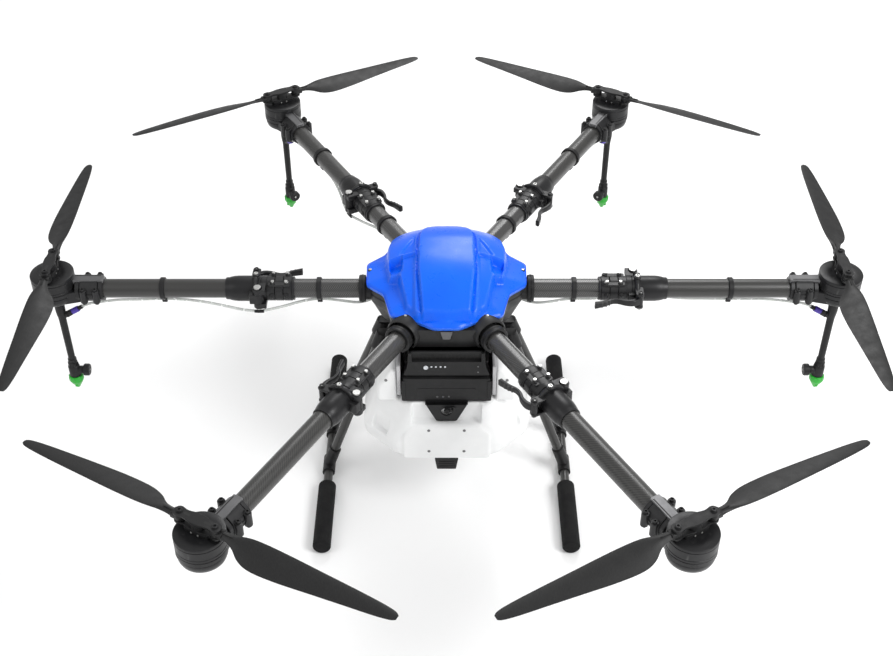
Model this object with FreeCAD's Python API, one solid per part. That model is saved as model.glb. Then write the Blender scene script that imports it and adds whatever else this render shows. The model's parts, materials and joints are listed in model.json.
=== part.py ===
import FreeCAD, Part
import math
import os

# Six-arm agricultural spray drone, in millimetres.
# +Z is up, -Y is the front, and the origin is on the ground under the centre of the six motors.

V = FreeCAD.Vector

# ---------------------------------------------------------------- driving dimensions
MOTOR_RADIUS = 822.0          # centre of the drone to each motor axis
MOTOR_TOP = 525.0             # height of the top face of the motor bells
PROP_TIP = 388.0              # propeller radius, a little over 30 inch in diameter
ARM_DROP = 41.0               # arm axis below the motor top
PROP_RISE = 18.0              # blade plane above the motor top
ARMS = {"mr": 0, "br": 60, "bl": 120, "ml": 180, "fl": 240, "fr": 300}
SPRAY_ARMS = ("mr", "br", "bl", "ml")
TURNS_LEFT = ("mr", "fl", "bl")   # rotors that turn anticlockwise seen from above

ARM_Z = MOTOR_TOP - ARM_DROP
PROP_Z = MOTOR_TOP + PROP_RISE
GAP = 0.3                     # air between pieces that move past each other
FIT = 0.1                     # air between pieces that are clamped together
RUNNING = 0.05                # radial clearance of a pin in its bore

# arm, along its own radius r, with y to the left when looking outwards
INNER_FLATS = 40.0            # octagonal inner tube, across its flats
INNER_START = 96.0
INNER_END = 376.0
OUTER_RADIUS = 20.0           # round outer tube
OUTER_START = 404.5
OUTER_END = 752.0
TUBE_WALL = 2.0
SPLIT_R = 392.0               # plane where the folding knuckle parts
PIN_Y = 31.0
PIN_RADIUS = 5.0
EAR_RADIUS = 10.5
EAR_HALF = 11.5               # half height of the moving middle ear
EAR_TOP = 24.0                # half height over the two fixed ears
CUP_RADIUS = 26.5
CUP_END = 462.0
CLAMP_START = 318.0
INNER_CLIP_R = 267.0
OUTER_CLIP_R = 595.0
LEVER_PIVOT = (402.0, -41.0)

# motor and propeller, on the motor axis
BELL_RADIUS = 45.0
BASE_TOP = MOTOR_TOP - 32.5
BASE_BOTTOM = MOTOR_TOP - 64.0
SHAFT_RADIUS = 6.0
POST_RADIUS = 14.0            # fixed post inside the stator, round the shaft
PIVOT_OFFSET = 37.0           # blade bolt from the motor axis
BOLT_RADIUS = 3.0
BLADE_HALF = 6.6              # half thickness of a blade root
PLATE = 4.5

# landing gear
SKID_X = 268.0
SKID_RADIUS = 10.0
FOAM_RADIUS = 19.5
SKID_Z = FOAM_RADIUS
SKID_HALF = 303.0
FOAM_START = 123.0
LEG_FOOT_Y = 60.0
LEG_TOP = (140.0, 22.0, 372.0)
LEG_RADIUS = 10.0

# body
RIM_Z = 508.0
CROWN_Z = 592.0
FLOOR_Z = 425.0
CANOPY_WALL = 2.5
PLATE_RADIUS = 128.0          # corner radius of the two carbon centre plates
SLEEVE_RADIUS = 23.8          # arm socket between the plates
BAY_HALF = 94.0
RAIL = 5.0

# battery, which slides out of the front
BATTERY_HALF = 86.0
BATTERY_BACK = 62.0
BATTERY_LOW = 346.0
BATTERY_HIGH = 420.0
FACE_Y = -186.0
BUTTON = (-42.0, 425.0)       # x and z of the power button on the battery's face

# tank, which hangs on the outer lips of the bay's rails
TANK_FRONT = -205.0
TANK_BACK = 205.0
TANK_HALF = 178.0
TANK_CHAMFER = 70.0
TANK_LOW = 187.0
TANK_MID = 333.0              # floor of the battery bay
TANK_WALL = 3.0
CAP_RADIUS = 48.0
NECK_RADIUS = 40.0
MOUTH_RADIUS = 36.0
TANK_HIGH = 412.0             # top of the ears and of the hump
EAR_SHOULDER = 372.0
HUMP_FRONT = 124.0
HUMP_TOP = 134.0              # the hump slopes down from here to its back
HUMP_BACK = 182.0
HUMP_LOW = 342.0

HOSE_RADIUS = 3.0


# ---------------------------------------------------------------- shape helpers
def block(x0, x1, y0, y1, z0, z1):
    return Part.makeBox(x1 - x0, y1 - y0, z1 - z0, V(x0, y0, z0))


def rod(radius, start, end):
    """A cylinder from one point to another."""
    a, b = V(*start), V(*end)
    return Part.makeCylinder(radius, (b - a).Length, a, b - a)


def cone(r0, r1, start, end):
    a, b = V(*start), V(*end)
    return Part.makeCone(r0, r1, (b - a).Length, a, b - a)


def outline(points):
    return Part.makePolygon([V(*p) for p in points + points[:1]])


def prism(points, z0, z1):
    """A polygon in plan, raised from z0 to z1."""
    face = Part.Face(outline([(x, y, z0) for x, y in points]))
    return face.extrude(V(0, 0, z1 - z0))


def side_prism(points, y0, y1):
    """A polygon of (x, z) points, drawn out along Y."""
    face = Part.Face(outline([(x, y0, z) for x, z in points]))
    return face.extrude(V(0, y1 - y0, 0))


def octagon_bar(flats, r0, r1):
    """An octagonal bar along the arm, with flats at its top and bottom."""
    corner = flats / 2 / math.cos(math.pi / 8)
    turn = [math.pi / 8 + i * math.pi / 4 for i in range(8)]
    ring = [(r0, corner * math.cos(a), ARM_Z + corner * math.sin(a)) for a in turn]
    return Part.Face(outline(ring)).extrude(V(r1 - r0, 0, 0))


def arm_rod(radius, r0, r1, y=0.0, z=ARM_Z):
    return rod(radius, (r0, y, z), (r1, y, z))


def spun(profile, x=0.0, y=0.0):
    """A closed outline of (radius, z) points turned about a vertical axis at x, y."""
    face = Part.Face(outline([(x + r, y, z) for r, z in profile]))
    return face.revolve(V(x, y, 0), V(0, 0, 1), 360)


def ribbon(points, widths, z0, z1):
    """A flat bar of changing width along a line in plan."""
    left, right = [], []
    for i, (x, y) in enumerate(points):
        ahead = points[min(i + 1, len(points) - 1)]
        behind = points[max(i - 1, 0)]
        dx, dy = ahead[0] - behind[0], ahead[1] - behind[1]
        size = math.hypot(dx, dy)
        nx, ny = -dy / size * widths[i] / 2, dx / size * widths[i] / 2
        left.append((x + nx, y + ny))
        right.insert(0, (x - nx, y - ny))
    return prism(left + right, z0, z1)


def union(shapes):
    return shapes[0].fuse(shapes[1:]).removeSplitter()


def turned(shape, degrees):
    """A copy of a shape, turned about the drone's vertical axis."""
    copy = shape.copy()
    copy.rotate(V(0, 0, 0), V(0, 0, 1), degrees)
    return copy


def mirrored(shape, normal):
    return shape.mirror(V(0, 0, 0), V(*normal))


def on_arms(shape, names=tuple(ARMS)):
    return [turned(shape, ARMS[name]) for name in names]


def hose(points, radius=HOSE_RADIUS):
    """A hose along straight runs joined by tangent arcs, as large as the runs allow."""
    at = [V(*p) for p in points]
    edges, last, length = [], at[0], 0.0
    for before, corner, after in zip(at, at[1:], at[2:]):
        into, out = (corner - before), (after - corner)
        shorter = min(into.Length, out.Length)
        into.normalize()
        out.normalize()
        half_turn = into.getAngle(out) / 2
        reach = 0.45 * shorter
        start, end = corner - into * reach, corner + out * reach
        bend = reach / math.tan(half_turn)
        middle = (out - into).normalize()
        middle = corner + middle * (bend / math.cos(half_turn) - bend)
        edges.append(Part.LineSegment(last, start).toShape())
        edges.append(Part.Arc(start, middle, end).toShape())
        length += (start - last).Length + bend * 2 * half_turn
        print("hose bend radius %.0f" % bend)
        last = end
    edges.append(Part.LineSegment(last, at[-1]).toShape())
    length += (at[-1] - last).Length
    first = at[1] - at[0]
    section = Part.Wire([Part.Circle(at[0], first, radius).toShape()])
    tube = Part.Wire(edges).makePipeShell([section], True, True)
    want = math.pi * radius ** 2 * length
    print("hose length %.0f, volume %.4f of its section times length" % (length, tube.Volume / want))
    return tube


# ---------------------------------------------------------------- body shell
def canopy_outline(grow):
    """The canopy's rim in plan, with its two side points, grown outwards by a distance."""
    right = [(44, -170), (64, -150), (114, -129), (129, -60), (166, -28), (168, 43), (130, 77), (114, 124),
             (56, 164)]
    left = [(-x, y) for x, y in reversed(right)]
    rim = []
    for x, y in right + left:
        size = math.hypot(x, y)
        rim.append((x * (size + grow) / size, y * (size + grow) / size))
    return rim


def level(points, z, share):
    """One loft section: the plan outline shrunk towards the centre, at a height."""
    return outline([(x * share, y * share, z) for x, y in points])


def canopy_solid(grow, drop):
    rim = canopy_outline(grow)
    rise = CROWN_Z - RIM_Z
    steps = [(0.0, 1.0), (0.16, 0.985), (0.42, 0.88), (0.72, 0.70), (0.92, 0.50), (1.0, 0.34)]
    sections = [level(rim, RIM_Z + drop + rise * up, share) for up, share in steps]
    return Part.makeLoft(sections, True, True)


def canopy_shell():
    outer = canopy_solid(0.0, 0.0)
    spine = side_prism([(-54, RIM_Z), (54, RIM_Z), (44, CROWN_Z + 4), (-44, CROWN_Z + 4)], -166, 158)
    spine = spine.common(canopy_solid(7.0, 5.0))
    inner = canopy_solid(-4.0, -CANOPY_WALL - 1.5)
    return union([outer, spine]).cut(inner)


def lower_solid(grow, low):
    rim = canopy_outline(grow)
    steps = [(RIM_Z - GAP, 1.0), (470.0, 0.99), (low, 0.86)]
    return Part.makeLoft([level(rim, z, share) for z, share in steps], True, True)


def lower_fuselage():
    shell = lower_solid(-6.0, FLOOR_Z).cut(lower_solid(-9.0, FLOOR_Z + 3.0))
    for name in ARMS:
        shell = shell.cut(turned(arm_rod(SLEEVE_RADIUS + GAP, 100, 220), ARMS[name]))
    tab = side_prism([(-12, 503), (12, 503), (7, 484), (-7, 484)], -168, -164.3)
    return Part.makeCompound([shell, tab])


def centre_plates():
    """Two carbon plates that clamp the arm sockets, and two side plates that carry the legs."""
    turn = [math.pi / 6 + i * math.pi / 3 for i in range(6)]
    ring = [(PLATE_RADIUS * math.cos(a), PLATE_RADIUS * math.sin(a)) for a in turn]
    hole = rod(38, (0, 0, 400), (0, 0, 560))
    near = SLEEVE_RADIUS + FIT
    top = prism(ring, ARM_Z + near, ARM_Z + near + 3).cut(hole)
    bottom = prism(ring, ARM_Z - near - 3, ARM_Z - near).cut(hole)
    cheek_line = [(-46, 424.5), (46, 424.5), (34, 352), (-34, 352)]
    face = Part.Face(outline([(116.0, y, z) for y, z in cheek_line]))
    cheek = face.extrude(V(4, 0, 0))
    return [top, bottom, cheek, mirrored(cheek, (1, 0, 0))]


def socket_start(name):
    """Distance from the centre to the collar at the body, further out on the front arms."""
    return 184.0 if name in ("fl", "fr") else 169.0


def arm_clamps():
    """The collars at the body, the hose clips and the fixed halves of the folding knuckles."""
    pieces = []
    bore = octagon_bar(INNER_FLATS + 2 * FIT, 80, 400)
    for name, angle in ARMS.items():
        start = socket_start(name)
        collar = union([arm_rod(SLEEVE_RADIUS, INNER_START + 2, start), arm_rod(28.5, start, start + 14)])
        pieces.append(turned(collar.cut(bore), angle))
    clip_ring = octagon_bar(INNER_FLATS + 7, INNER_CLIP_R - 5, INNER_CLIP_R + 5)
    pieces += on_arms(tube_clip(INNER_CLIP_R, clip_ring, bore), SPRAY_ARMS)
    pieces += on_arms(fixed_knuckle(bore))
    return pieces


def tube_clip(r, ring, bore):
    """A ring round an arm tube, with an eye below it that holds the hose."""
    eye = rod(7.0, (r - 5, 0, ARM_Z - 28), (r + 5, 0, ARM_Z - 28))
    stem = block(r - 5, r + 5, -5, 5, ARM_Z - 29, ARM_Z - 20.5)
    hole = rod(HOSE_RADIUS + GAP, (r - 9, 0, ARM_Z - 28), (r + 9, 0, ARM_Z - 28))
    return union([ring, eye, stem]).cut(bore).cut(hole)


def ear(low, high, r_side, radius=EAR_RADIUS):
    """A hinge ear round the fold pin, with its web to one side of the split."""
    barrel = rod(radius, (SPLIT_R, PIN_Y, ARM_Z + low), (SPLIT_R, PIN_Y, ARM_Z + high))
    web = block(min(SPLIT_R, r_side), max(SPLIT_R, r_side), 12, PIN_Y, ARM_Z + low, ARM_Z + high)
    return union([barrel, web])


def pin_hole(radius):
    return rod(radius, (SPLIT_R, PIN_Y, ARM_Z - 60), (SPLIT_R, PIN_Y, ARM_Z + 60))


def fixed_knuckle(bore):
    """The half of the knuckle that grips the inner tube, with two hinge ears and a catch lug."""
    face = SPLIT_R - GAP / 2
    sleeve = octagon_bar(51.0, CLAMP_START, face - 14)
    flange = arm_rod(CUP_RADIUS, face - 16, face)
    lug = block(face - 13, face, -34.5, -18, ARM_Z - 9, ARM_Z + 9)
    pads = [block(CLAMP_START + 6, face - 18, y - 5, y + 5, ARM_Z + 20, ARM_Z + 27.5) for y in (-15, 15)]
    body = union([sleeve, flange, lug] + pads)
    body = body.cut(rod(EAR_RADIUS + GAP, (SPLIT_R, PIN_Y, ARM_Z - 60), (SPLIT_R, PIN_Y, ARM_Z + 60)))
    ears = [ear(EAR_HALF + GAP, EAR_TOP, face - 16), ear(-EAR_TOP, -EAR_HALF - GAP, face - 16)]
    body = union([body] + ears)
    passage = arm_rod(15.0, INNER_END - 1, SPLIT_R + 1)
    seat = bore.common(arm_rod(40, 80, INNER_END + 0.2))
    return body.cut(seat).cut(passage).cut(pin_hole(PIN_RADIUS + RUNNING))


def knuckle_cup():
    """The half of the knuckle that grips the outer tube, with the middle hinge ear and lever fork."""
    face = SPLIT_R + GAP / 2
    cup = union([arm_rod(CUP_RADIUS, face, CUP_END - 16),
                 cone(CUP_RADIUS, 22.6, (CUP_END - 16, 0, ARM_Z), (CUP_END, 0, ARM_Z))])
    flange = arm_rod(CUP_RADIUS + 2.5, face, face + 9)
    px, py = LEVER_PIVOT
    forks = []
    for low, high in ((12.3, 18.0), (-18.0, -12.3)):
        arm = block(face, px + 6, py, -10, ARM_Z + low, ARM_Z + high)
        forks += [arm, rod(7.0, (px, py, ARM_Z + low), (px, py, ARM_Z + high))]
    body = union([cup, flange] + forks)
    body = body.cut(block(face - 5, px + 10, -60, -27.2, ARM_Z - 12.3, ARM_Z + 12.3))
    for low, high in ((EAR_HALF, 40.0), (-40.0, -EAR_HALF)):
        room = rod(EAR_RADIUS + GAP, (SPLIT_R, PIN_Y, ARM_Z + low), (SPLIT_R, PIN_Y, ARM_Z + high))
        body = body.cut(room)
    middle = ear(-EAR_HALF, EAR_HALF, SPLIT_R + 18)
    middle = middle.cut(block(SPLIT_R - 20, face, -30, PIN_Y - EAR_RADIUS + 0.5, ARM_Z - 30, ARM_Z + 30))
    body = union([body, middle])
    body = body.cut(arm_rod(OUTER_RADIUS + FIT, OUTER_START - 0.5, CUP_END + 1))
    body = body.cut(arm_rod(15.0, SPLIT_R - 1, OUTER_START))
    body = body.cut(rod(BOLT_RADIUS + RUNNING, (px, py, ARM_Z - 30), (px, py, ARM_Z + 30)))
    return body.cut(pin_hole(PIN_RADIUS + RUNNING))


def lever():
    """The quick-release lever beside the knuckle, curved like an S, on a vertical pivot."""
    px, py = LEVER_PIVOT
    line = [(px, py), (px - 14, py - 8), (px - 30, py - 8), (px - 46, py - 3),
            (px - 60, py - 4), (px - 74, py - 11), (px - 92, py - 16)]
    widths = [11, 10, 8, 7, 7, 8, 9]
    low, high = ARM_Z - 8, ARM_Z + 8
    bar = ribbon(line, widths, low, high)
    hub = rod(6.5, (px, py, ARM_Z - 12), (px, py, ARM_Z + 12))
    tip = rod(4.5, line[-1] + (low,), line[-1] + (high,))
    bore = rod(BOLT_RADIUS + RUNNING, (px, py, ARM_Z - 30), (px, py, ARM_Z + 30))
    return union([bar, hub, tip]).cut(bore)


def motor_mount():
    """The tube clamp and the motor base in one casting, with room for the speed controller."""
    clamp = octagon_bar(53.0, 718, 775.5)
    top = block(718, 775.5, -18, 18, ARM_Z + 20, ARM_Z + 28)
    bosses = [rod(6.0, (r, y, ARM_Z - 14), (r, y, ARM_Z + 16)) for r in (731, 757) for y in (-27, 27)]
    base_line = [(0, BASE_BOTTOM), (33, BASE_BOTTOM), (41, BASE_BOTTOM + 5), (BELL_RADIUS, BASE_BOTTOM + 13),
                 (BELL_RADIUS, BASE_TOP), (0, BASE_TOP)]
    base = spun(base_line, MOTOR_RADIUS)
    neck = prism([(760, -24), (800, -34), (800, 34), (760, 24)], BASE_BOTTOM + 3, BASE_TOP - 1)
    body = union([clamp, top, base, neck] + bosses)
    body = body.cut(arm_rod(OUTER_RADIUS + FIT, 700, OUTER_END + 0.2))
    pocket = rod(37, (MOTOR_RADIUS, 0, BASE_BOTTOM + 6), (MOTOR_RADIUS, 0, BASE_TOP - 5))
    body = body.cut(pocket)
    bearing = rod(SHAFT_RADIUS + RUNNING, (MOTOR_RADIUS, 0, BASE_BOTTOM + 8), (MOTOR_RADIUS, 0, MOTOR_TOP))
    post = rod(POST_RADIUS, (MOTOR_RADIUS, 0, BASE_BOTTOM + 3), (MOTOR_RADIUS, 0, BASE_TOP + 20))
    return union([body, post]).cut(bearing)


def stator():
    near = POST_RADIUS + FIT
    ring_line = [(near, BASE_TOP + 1), (38, BASE_TOP + 1), (38, BASE_TOP + 19), (near, BASE_TOP + 19)]
    ring = spun(ring_line, MOTOR_RADIUS)
    slots = []
    for i in range(12):
        slot = block(30, 40, -1.5, 1.5, BASE_TOP, BASE_TOP + 20)
        slot.rotate(V(0, 0, 0), V(0, 0, 1), 30 * i)
        slot.translate(V(MOTOR_RADIUS, 0, 0))
        slots.append(slot)
    return ring.cut(slots)


def controller_board():
    near, low = POST_RADIUS + FIT, BASE_BOTTOM + 9
    return spun([(near, low), (34, low), (34, low + 4), (near, low + 4)], MOTOR_RADIUS)


def arm_bolts():
    """Bolt heads on the mount and the knuckle, and the lever's pivot bolt."""
    px, py = LEVER_PIVOT
    heads = [rod(4.2, (r, y, ARM_Z + 16 + FIT), (r, y, ARM_Z + 20)) for r in (731, 757) for y in (-27, 27)]
    pivot = union([rod(BOLT_RADIUS, (px, py, ARM_Z - 22), (px, py, ARM_Z + 22)),
                   rod(6.0, (px, py, ARM_Z + 18 + FIT), (px, py, ARM_Z + 22)),
                   rod(6.0, (px, py, ARM_Z - 22), (px, py, ARM_Z - 18 - FIT))])
    return heads + [pivot]


def outer_tube():
    return arm_rod(OUTER_RADIUS, OUTER_START, OUTER_END).cut(arm_rod(OUTER_RADIUS - TUBE_WALL, 390, 800))


def inner_tube():
    hollow = octagon_bar(INNER_FLATS - 2 * TUBE_WALL, INNER_START - 5, INNER_END + 5)
    return octagon_bar(INNER_FLATS, INNER_START, INNER_END).cut(hollow)


def arm_fittings(carries_hose):
    """What is clamped on an outer tube, with a hose clip only on the arms that spray."""
    tube_hole = arm_rod(OUTER_RADIUS + FIT, 500, 700)
    clip_ring = arm_rod(OUTER_RADIUS + 3.5, OUTER_CLIP_R - 5, OUTER_CLIP_R + 5)
    clip = tube_clip(OUTER_CLIP_R, clip_ring, tube_hole)
    under = BASE_BOTTOM - FIT
    lens = spun([(0, under - 5), (5, under - 4), (7, under), (0, under)], MOTOR_RADIUS - 24)
    clips = [clip] if carries_hose else []
    return [knuckle_cup(), motor_mount(), stator(), controller_board(), lens] + clips + arm_bolts()


# ---------------------------------------------------------------- spray lances
LANCE_TOP = BASE_BOTTOM - FIT
VALVE_Z = MOTOR_TOP - 268.0
PORT_Z = MOTOR_TOP - 118.0
TIP_Z = MOTOR_TOP - 317.0


def spray_lance():
    """A hanging lance with its valve and nozzle cap, and the hose that runs back along the arm."""
    x = MOTOR_RADIUS
    stem_line = [(0, LANCE_TOP), (16, LANCE_TOP), (16, LANCE_TOP - 4), (11.5, LANCE_TOP - 8),
                 (10.5, LANCE_TOP - 40), (8, LANCE_TOP - 62), (7.5, VALVE_Z + 26), (10, VALVE_Z + 24),
                 (10, VALVE_Z + 14), (12.5, VALVE_Z + 12), (12.5, VALVE_Z - 14), (0, VALVE_Z - 14)]
    stem = spun(stem_line, x)

    def on_slope(distance):
        return (x - 0.86 * distance, 0, PORT_Z + 0.51 * distance)

    port = rod(6.0, on_slope(0), on_slope(17))
    valve = union([rod(9.0, (x, 0, VALVE_Z), (x - 20, 0, VALVE_Z)),
                   rod(13.0, (x - 20, 0, VALVE_Z), (x - 34, 0, VALVE_Z))])
    body = union([stem, port, valve])
    cap = spun([(0, VALVE_Z - 14 - FIT), (15, VALVE_Z - 14 - FIT), (16, VALVE_Z - 26), (13, VALVE_Z - 32),
                (8, VALVE_Z - 40), (3.5, TIP_Z), (0, TIP_Z)], x)
    connector = union([rod(6.5, on_slope(17 + FIT), on_slope(49)), rod(4.5, on_slope(48), on_slope(56))])
    begin = on_slope(56 + FIT)
    low = ARM_Z - 28
    line = [begin, on_slope(72), (begin[0] - 44, 0, low - 8), (begin[0] - 80, 0, low - 2),
            (655, 1, low - 1), (OUTER_CLIP_R + 14, 0, low), (OUTER_CLIP_R - 14, 0, low),
            (545, 2, low - 1), (508, 6, low - 4), (464, 16, low - 7), (428, 27, low - 9),
            (SPLIT_R + 5, PIN_Y, low - 9)]
    return [body, cap, connector, hose(line)]


# ---------------------------------------------------------------- rotors and blades
def rotor():
    """The motor bell with its shaft, and the hub plates that hold both blades."""
    x = MOTOR_RADIUS
    low = BASE_TOP + GAP * 2
    bell_line = [(0, MOTOR_TOP - 5), (41, MOTOR_TOP - 5), (41, low), (BELL_RADIUS, low),
                 (BELL_RADIUS, MOTOR_TOP - 2), (BELL_RADIUS - 1.5, MOTOR_TOP), (0, MOTOR_TOP)]
    bell = spun(bell_line, x)
    shaft = rod(SHAFT_RADIUS, (x, 0, BASE_BOTTOM + 9), (x, 0, MOTOR_TOP - 4))
    adapter = rod(15, (x, 0, MOTOR_TOP - 1), (x, 0, PROP_Z - BLADE_HALF - PLATE))
    low_plate, high_plate = [hub_plate(z) for z in (PROP_Z - BLADE_HALF - PLATE, PROP_Z + BLADE_HALF + GAP)]
    spacer = rod(13, (x, 0, PROP_Z - BLADE_HALF - 1), (x, 0, PROP_Z + BLADE_HALF + 1))
    bridge = block(x - 21, x + 21, -10, 10, MOTOR_TOP - 1, PROP_Z - BLADE_HALF - PLATE + 1)
    parts = [bell, shaft, adapter, bridge, low_plate, high_plate, spacer]
    for side in (-PIVOT_OFFSET, PIVOT_OFFSET):
        low_end = PROP_Z - BLADE_HALF - PLATE - 3
        high_end = PROP_Z + BLADE_HALF + GAP + PLATE + 4
        parts.append(rod(BOLT_RADIUS, (x, side, low_end), (x, side, high_end)))
        parts.append(rod(5.5, (x, side, high_end - 4), (x, side, high_end)))
    return union(parts)


def hub_plate(z):
    """A long plate with round ends over the blade bolts and a narrow waist."""
    x = MOTOR_RADIUS
    ends = [rod(11, (x, s, z), (x, s, z + PLATE)) for s in (-PIVOT_OFFSET, PIVOT_OFFSET)]
    waist = prism([(x - 9, -PIVOT_OFFSET), (x + 9, -PIVOT_OFFSET), (x + 12, -12), (x + 12, 12),
                   (x + 9, PIVOT_OFFSET), (x - 9, PIVOT_OFFSET), (x - 12, 12), (x - 12, -12)], z, z + PLATE)
    slots = [block(x - 2.5, x + 2.5, s - 7, s + 7, z - 1, z + PLATE + 1) for s in (-21.5, 21.5)]
    return union(ends + [waist]).cut(slots)


# each row: share of the blade's span, leading edge, trailing edge, thickness, pitch in degrees
BLADE_STATIONS = [
    (0.040, 9.0, -9.0, 12.0, 0.0),
    (0.075, 8.5, -9.5, 10.5, 8.0),
    (0.120, 10.5, -15.0, 8.5, 17.0),
    (0.180, 15.0, -29.0, 7.0, 19.0),
    (0.260, 17.0, -36.0, 6.0, 17.0),
    (0.400, 17.0, -34.5, 5.2, 14.0),
    (0.580, 15.5, -27.5, 4.2, 11.0),
    (0.760, 14.0, -20.0, 3.4, 8.5),
    (0.900, 12.0, -14.0, 2.8, 7.0),
    (0.975, 9.0, -9.0, 2.4, 6.0),
    (1.000, 4.0, -4.5, 2.0, 6.0),
]


def blade_section(share, lead, trail, thick, pitch):
    """A lens-shaped section, square to a blade that points along +Y and moves towards -X."""
    span = PROP_TIP - PIVOT_OFFSET
    y = PIVOT_OFFSET + span * share
    chord = lead - trail
    upper = [(lead - 0.12 * chord, 0.5), (lead - 0.45 * chord, 0.5), (trail + 0.1 * chord, 0.16)]
    lower = [(along, -up) for along, up in reversed(upper)]
    shape = [(lead, 0.0)] + upper + [(trail, 0.0)] + lower
    a = math.radians(pitch)
    ring = []
    for along, up in shape:
        u = up * thick
        ring.append((MOTOR_RADIUS - (along * math.cos(a) - u * math.sin(a)), y,
                     PROP_Z + along * math.sin(a) + u * math.cos(a)))
    return outline(ring)


def blade():
    """The left blade of a propeller that turns anticlockwise, pointing along +Y."""
    x = MOTOR_RADIUS
    root = rod(10, (x, PIVOT_OFFSET, PROP_Z - BLADE_HALF + GAP), (x, PIVOT_OFFSET, PROP_Z + BLADE_HALF))
    first = BLADE_STATIONS[0]
    neck_end = PIVOT_OFFSET + (PROP_TIP - PIVOT_OFFSET) * first[0] + 1
    neck = block(x - 8.6, x + 8.6, PIVOT_OFFSET, neck_end, PROP_Z - 5.6, PROP_Z + 5.6)
    foil = Part.makeLoft([blade_section(*row) for row in BLADE_STATIONS], True, True)
    bolt_hole = rod(BOLT_RADIUS + RUNNING, (x, PIVOT_OFFSET, PROP_Z - 30), (x, PIVOT_OFFSET, PROP_Z + 30))
    return union([root, neck, foil]).cut(bolt_hole)


def blade_pair(turns_left):
    """Both blades of one propeller, blade a on the left of its arm and blade b on the right."""
    left = blade()
    right = left.copy()
    right.rotate(V(MOTOR_RADIUS, 0, 0), V(0, 0, 1), 180)
    if not turns_left:
        left, right = [mirrored(s, (0, 1, 0)) for s in (right, left)]
    return {"a": left, "b": right}


# ---------------------------------------------------------------- landing gear
def four_ways(shape):
    front_right = mirrored(shape, (0, 1, 0))
    return [shape, front_right, mirrored(shape, (1, 0, 0)), mirrored(front_right, (1, 0, 0))]


LEG_FOOT = (SKID_X - 2.0, LEG_FOOT_Y, SKID_Z + 12.0)


def landing_gear_tubes():
    leg = rod(LEG_RADIUS, LEG_TOP, LEG_FOOT)
    skid = rod(SKID_RADIUS, (SKID_X, -SKID_HALF, SKID_Z), (SKID_X, SKID_HALF, SKID_Z))
    return four_ways(leg) + [skid, mirrored(skid, (1, 0, 0))]


def along_leg(distance):
    """A point on the leg's axis, measured down from its top."""
    a, b = V(*LEG_TOP), V(*LEG_FOOT)
    return a + (b - a).normalize() * distance


def landing_gear_clamps():
    """The sockets that hold the legs to the body, and the tees that hold them to the skids."""
    leg = rod(LEG_RADIUS + FIT, LEG_TOP, LEG_FOOT)
    socket = rod(14.0, tuple(along_leg(-10)), tuple(along_leg(28)))
    arm = block(120.1, 146, 10, 34, 360, 384)
    socket = union([socket, arm]).cut(leg).cut(block(90, 120.1, -60, 60, 300, 420))
    length = (V(*LEG_FOOT) - V(*LEG_TOP)).Length
    sleeve = rod(13.5, tuple(along_leg(length - 40)), tuple(along_leg(length)))
    saddle = rod(14.0, (SKID_X, LEG_FOOT_Y - 24, SKID_Z), (SKID_X, LEG_FOOT_Y + 24, SKID_Z))
    skid = rod(SKID_RADIUS + FIT, (SKID_X, -400, SKID_Z), (SKID_X, 400, SKID_Z))
    tee = union([sleeve, saddle]).cut(leg).cut(skid)
    return four_ways(socket) + four_ways(tee)


def skid_foam():
    """Soft sleeves with rounded ends over the front and back of each skid."""
    end = SKID_HALF + 6
    sleeve = rod(FOAM_RADIUS, (SKID_X, FOAM_START, SKID_Z), (SKID_X, end, SKID_Z))
    rims = [e for e in sleeve.Edges if len(e.Vertexes) == 1]
    sleeve = sleeve.makeFillet(5.0, rims)
    hole = rod(SKID_RADIUS + FIT, (SKID_X, 0, SKID_Z), (SKID_X, SKID_HALF + FIT, SKID_Z))
    return four_ways(sleeve.cut(hole))


# ---------------------------------------------------------------- battery and its bay
def battery_bay():
    """Two rails under the body, with inward lips for the battery and outward lips for the tank."""
    back = BATTERY_BACK + 10
    web = block(BAY_HALF, BAY_HALF + RAIL, -176, back, 342, FLOOR_Z - FIT)
    battery_lip = block(BATTERY_HALF - 6, BAY_HALF + 1, -158, back, 342, BATTERY_LOW - 0.5)
    tank_lip = block(BAY_HALF + RAIL - 1, BAY_HALF + RAIL + 9, -158, back, 372, 377)
    rail = union([web, battery_lip, tank_lip])
    inside = BAY_HALF - FIT
    stop = block(-inside, inside, BATTERY_BACK + 5, BATTERY_BACK + 9, 380, FLOOR_Z - FIT)
    socket = block(-34, 34, BATTERY_BACK + 0.5, BATTERY_BACK + 6, 384, 412)
    pins = [rod(3.6, (x, BATTERY_BACK - 30, 398), (x, BATTERY_BACK + 2, 398)) for x in (-16, 16)]
    return [rail, mirrored(rail, (1, 0, 0)), union([stop, socket] + pins)]


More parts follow.
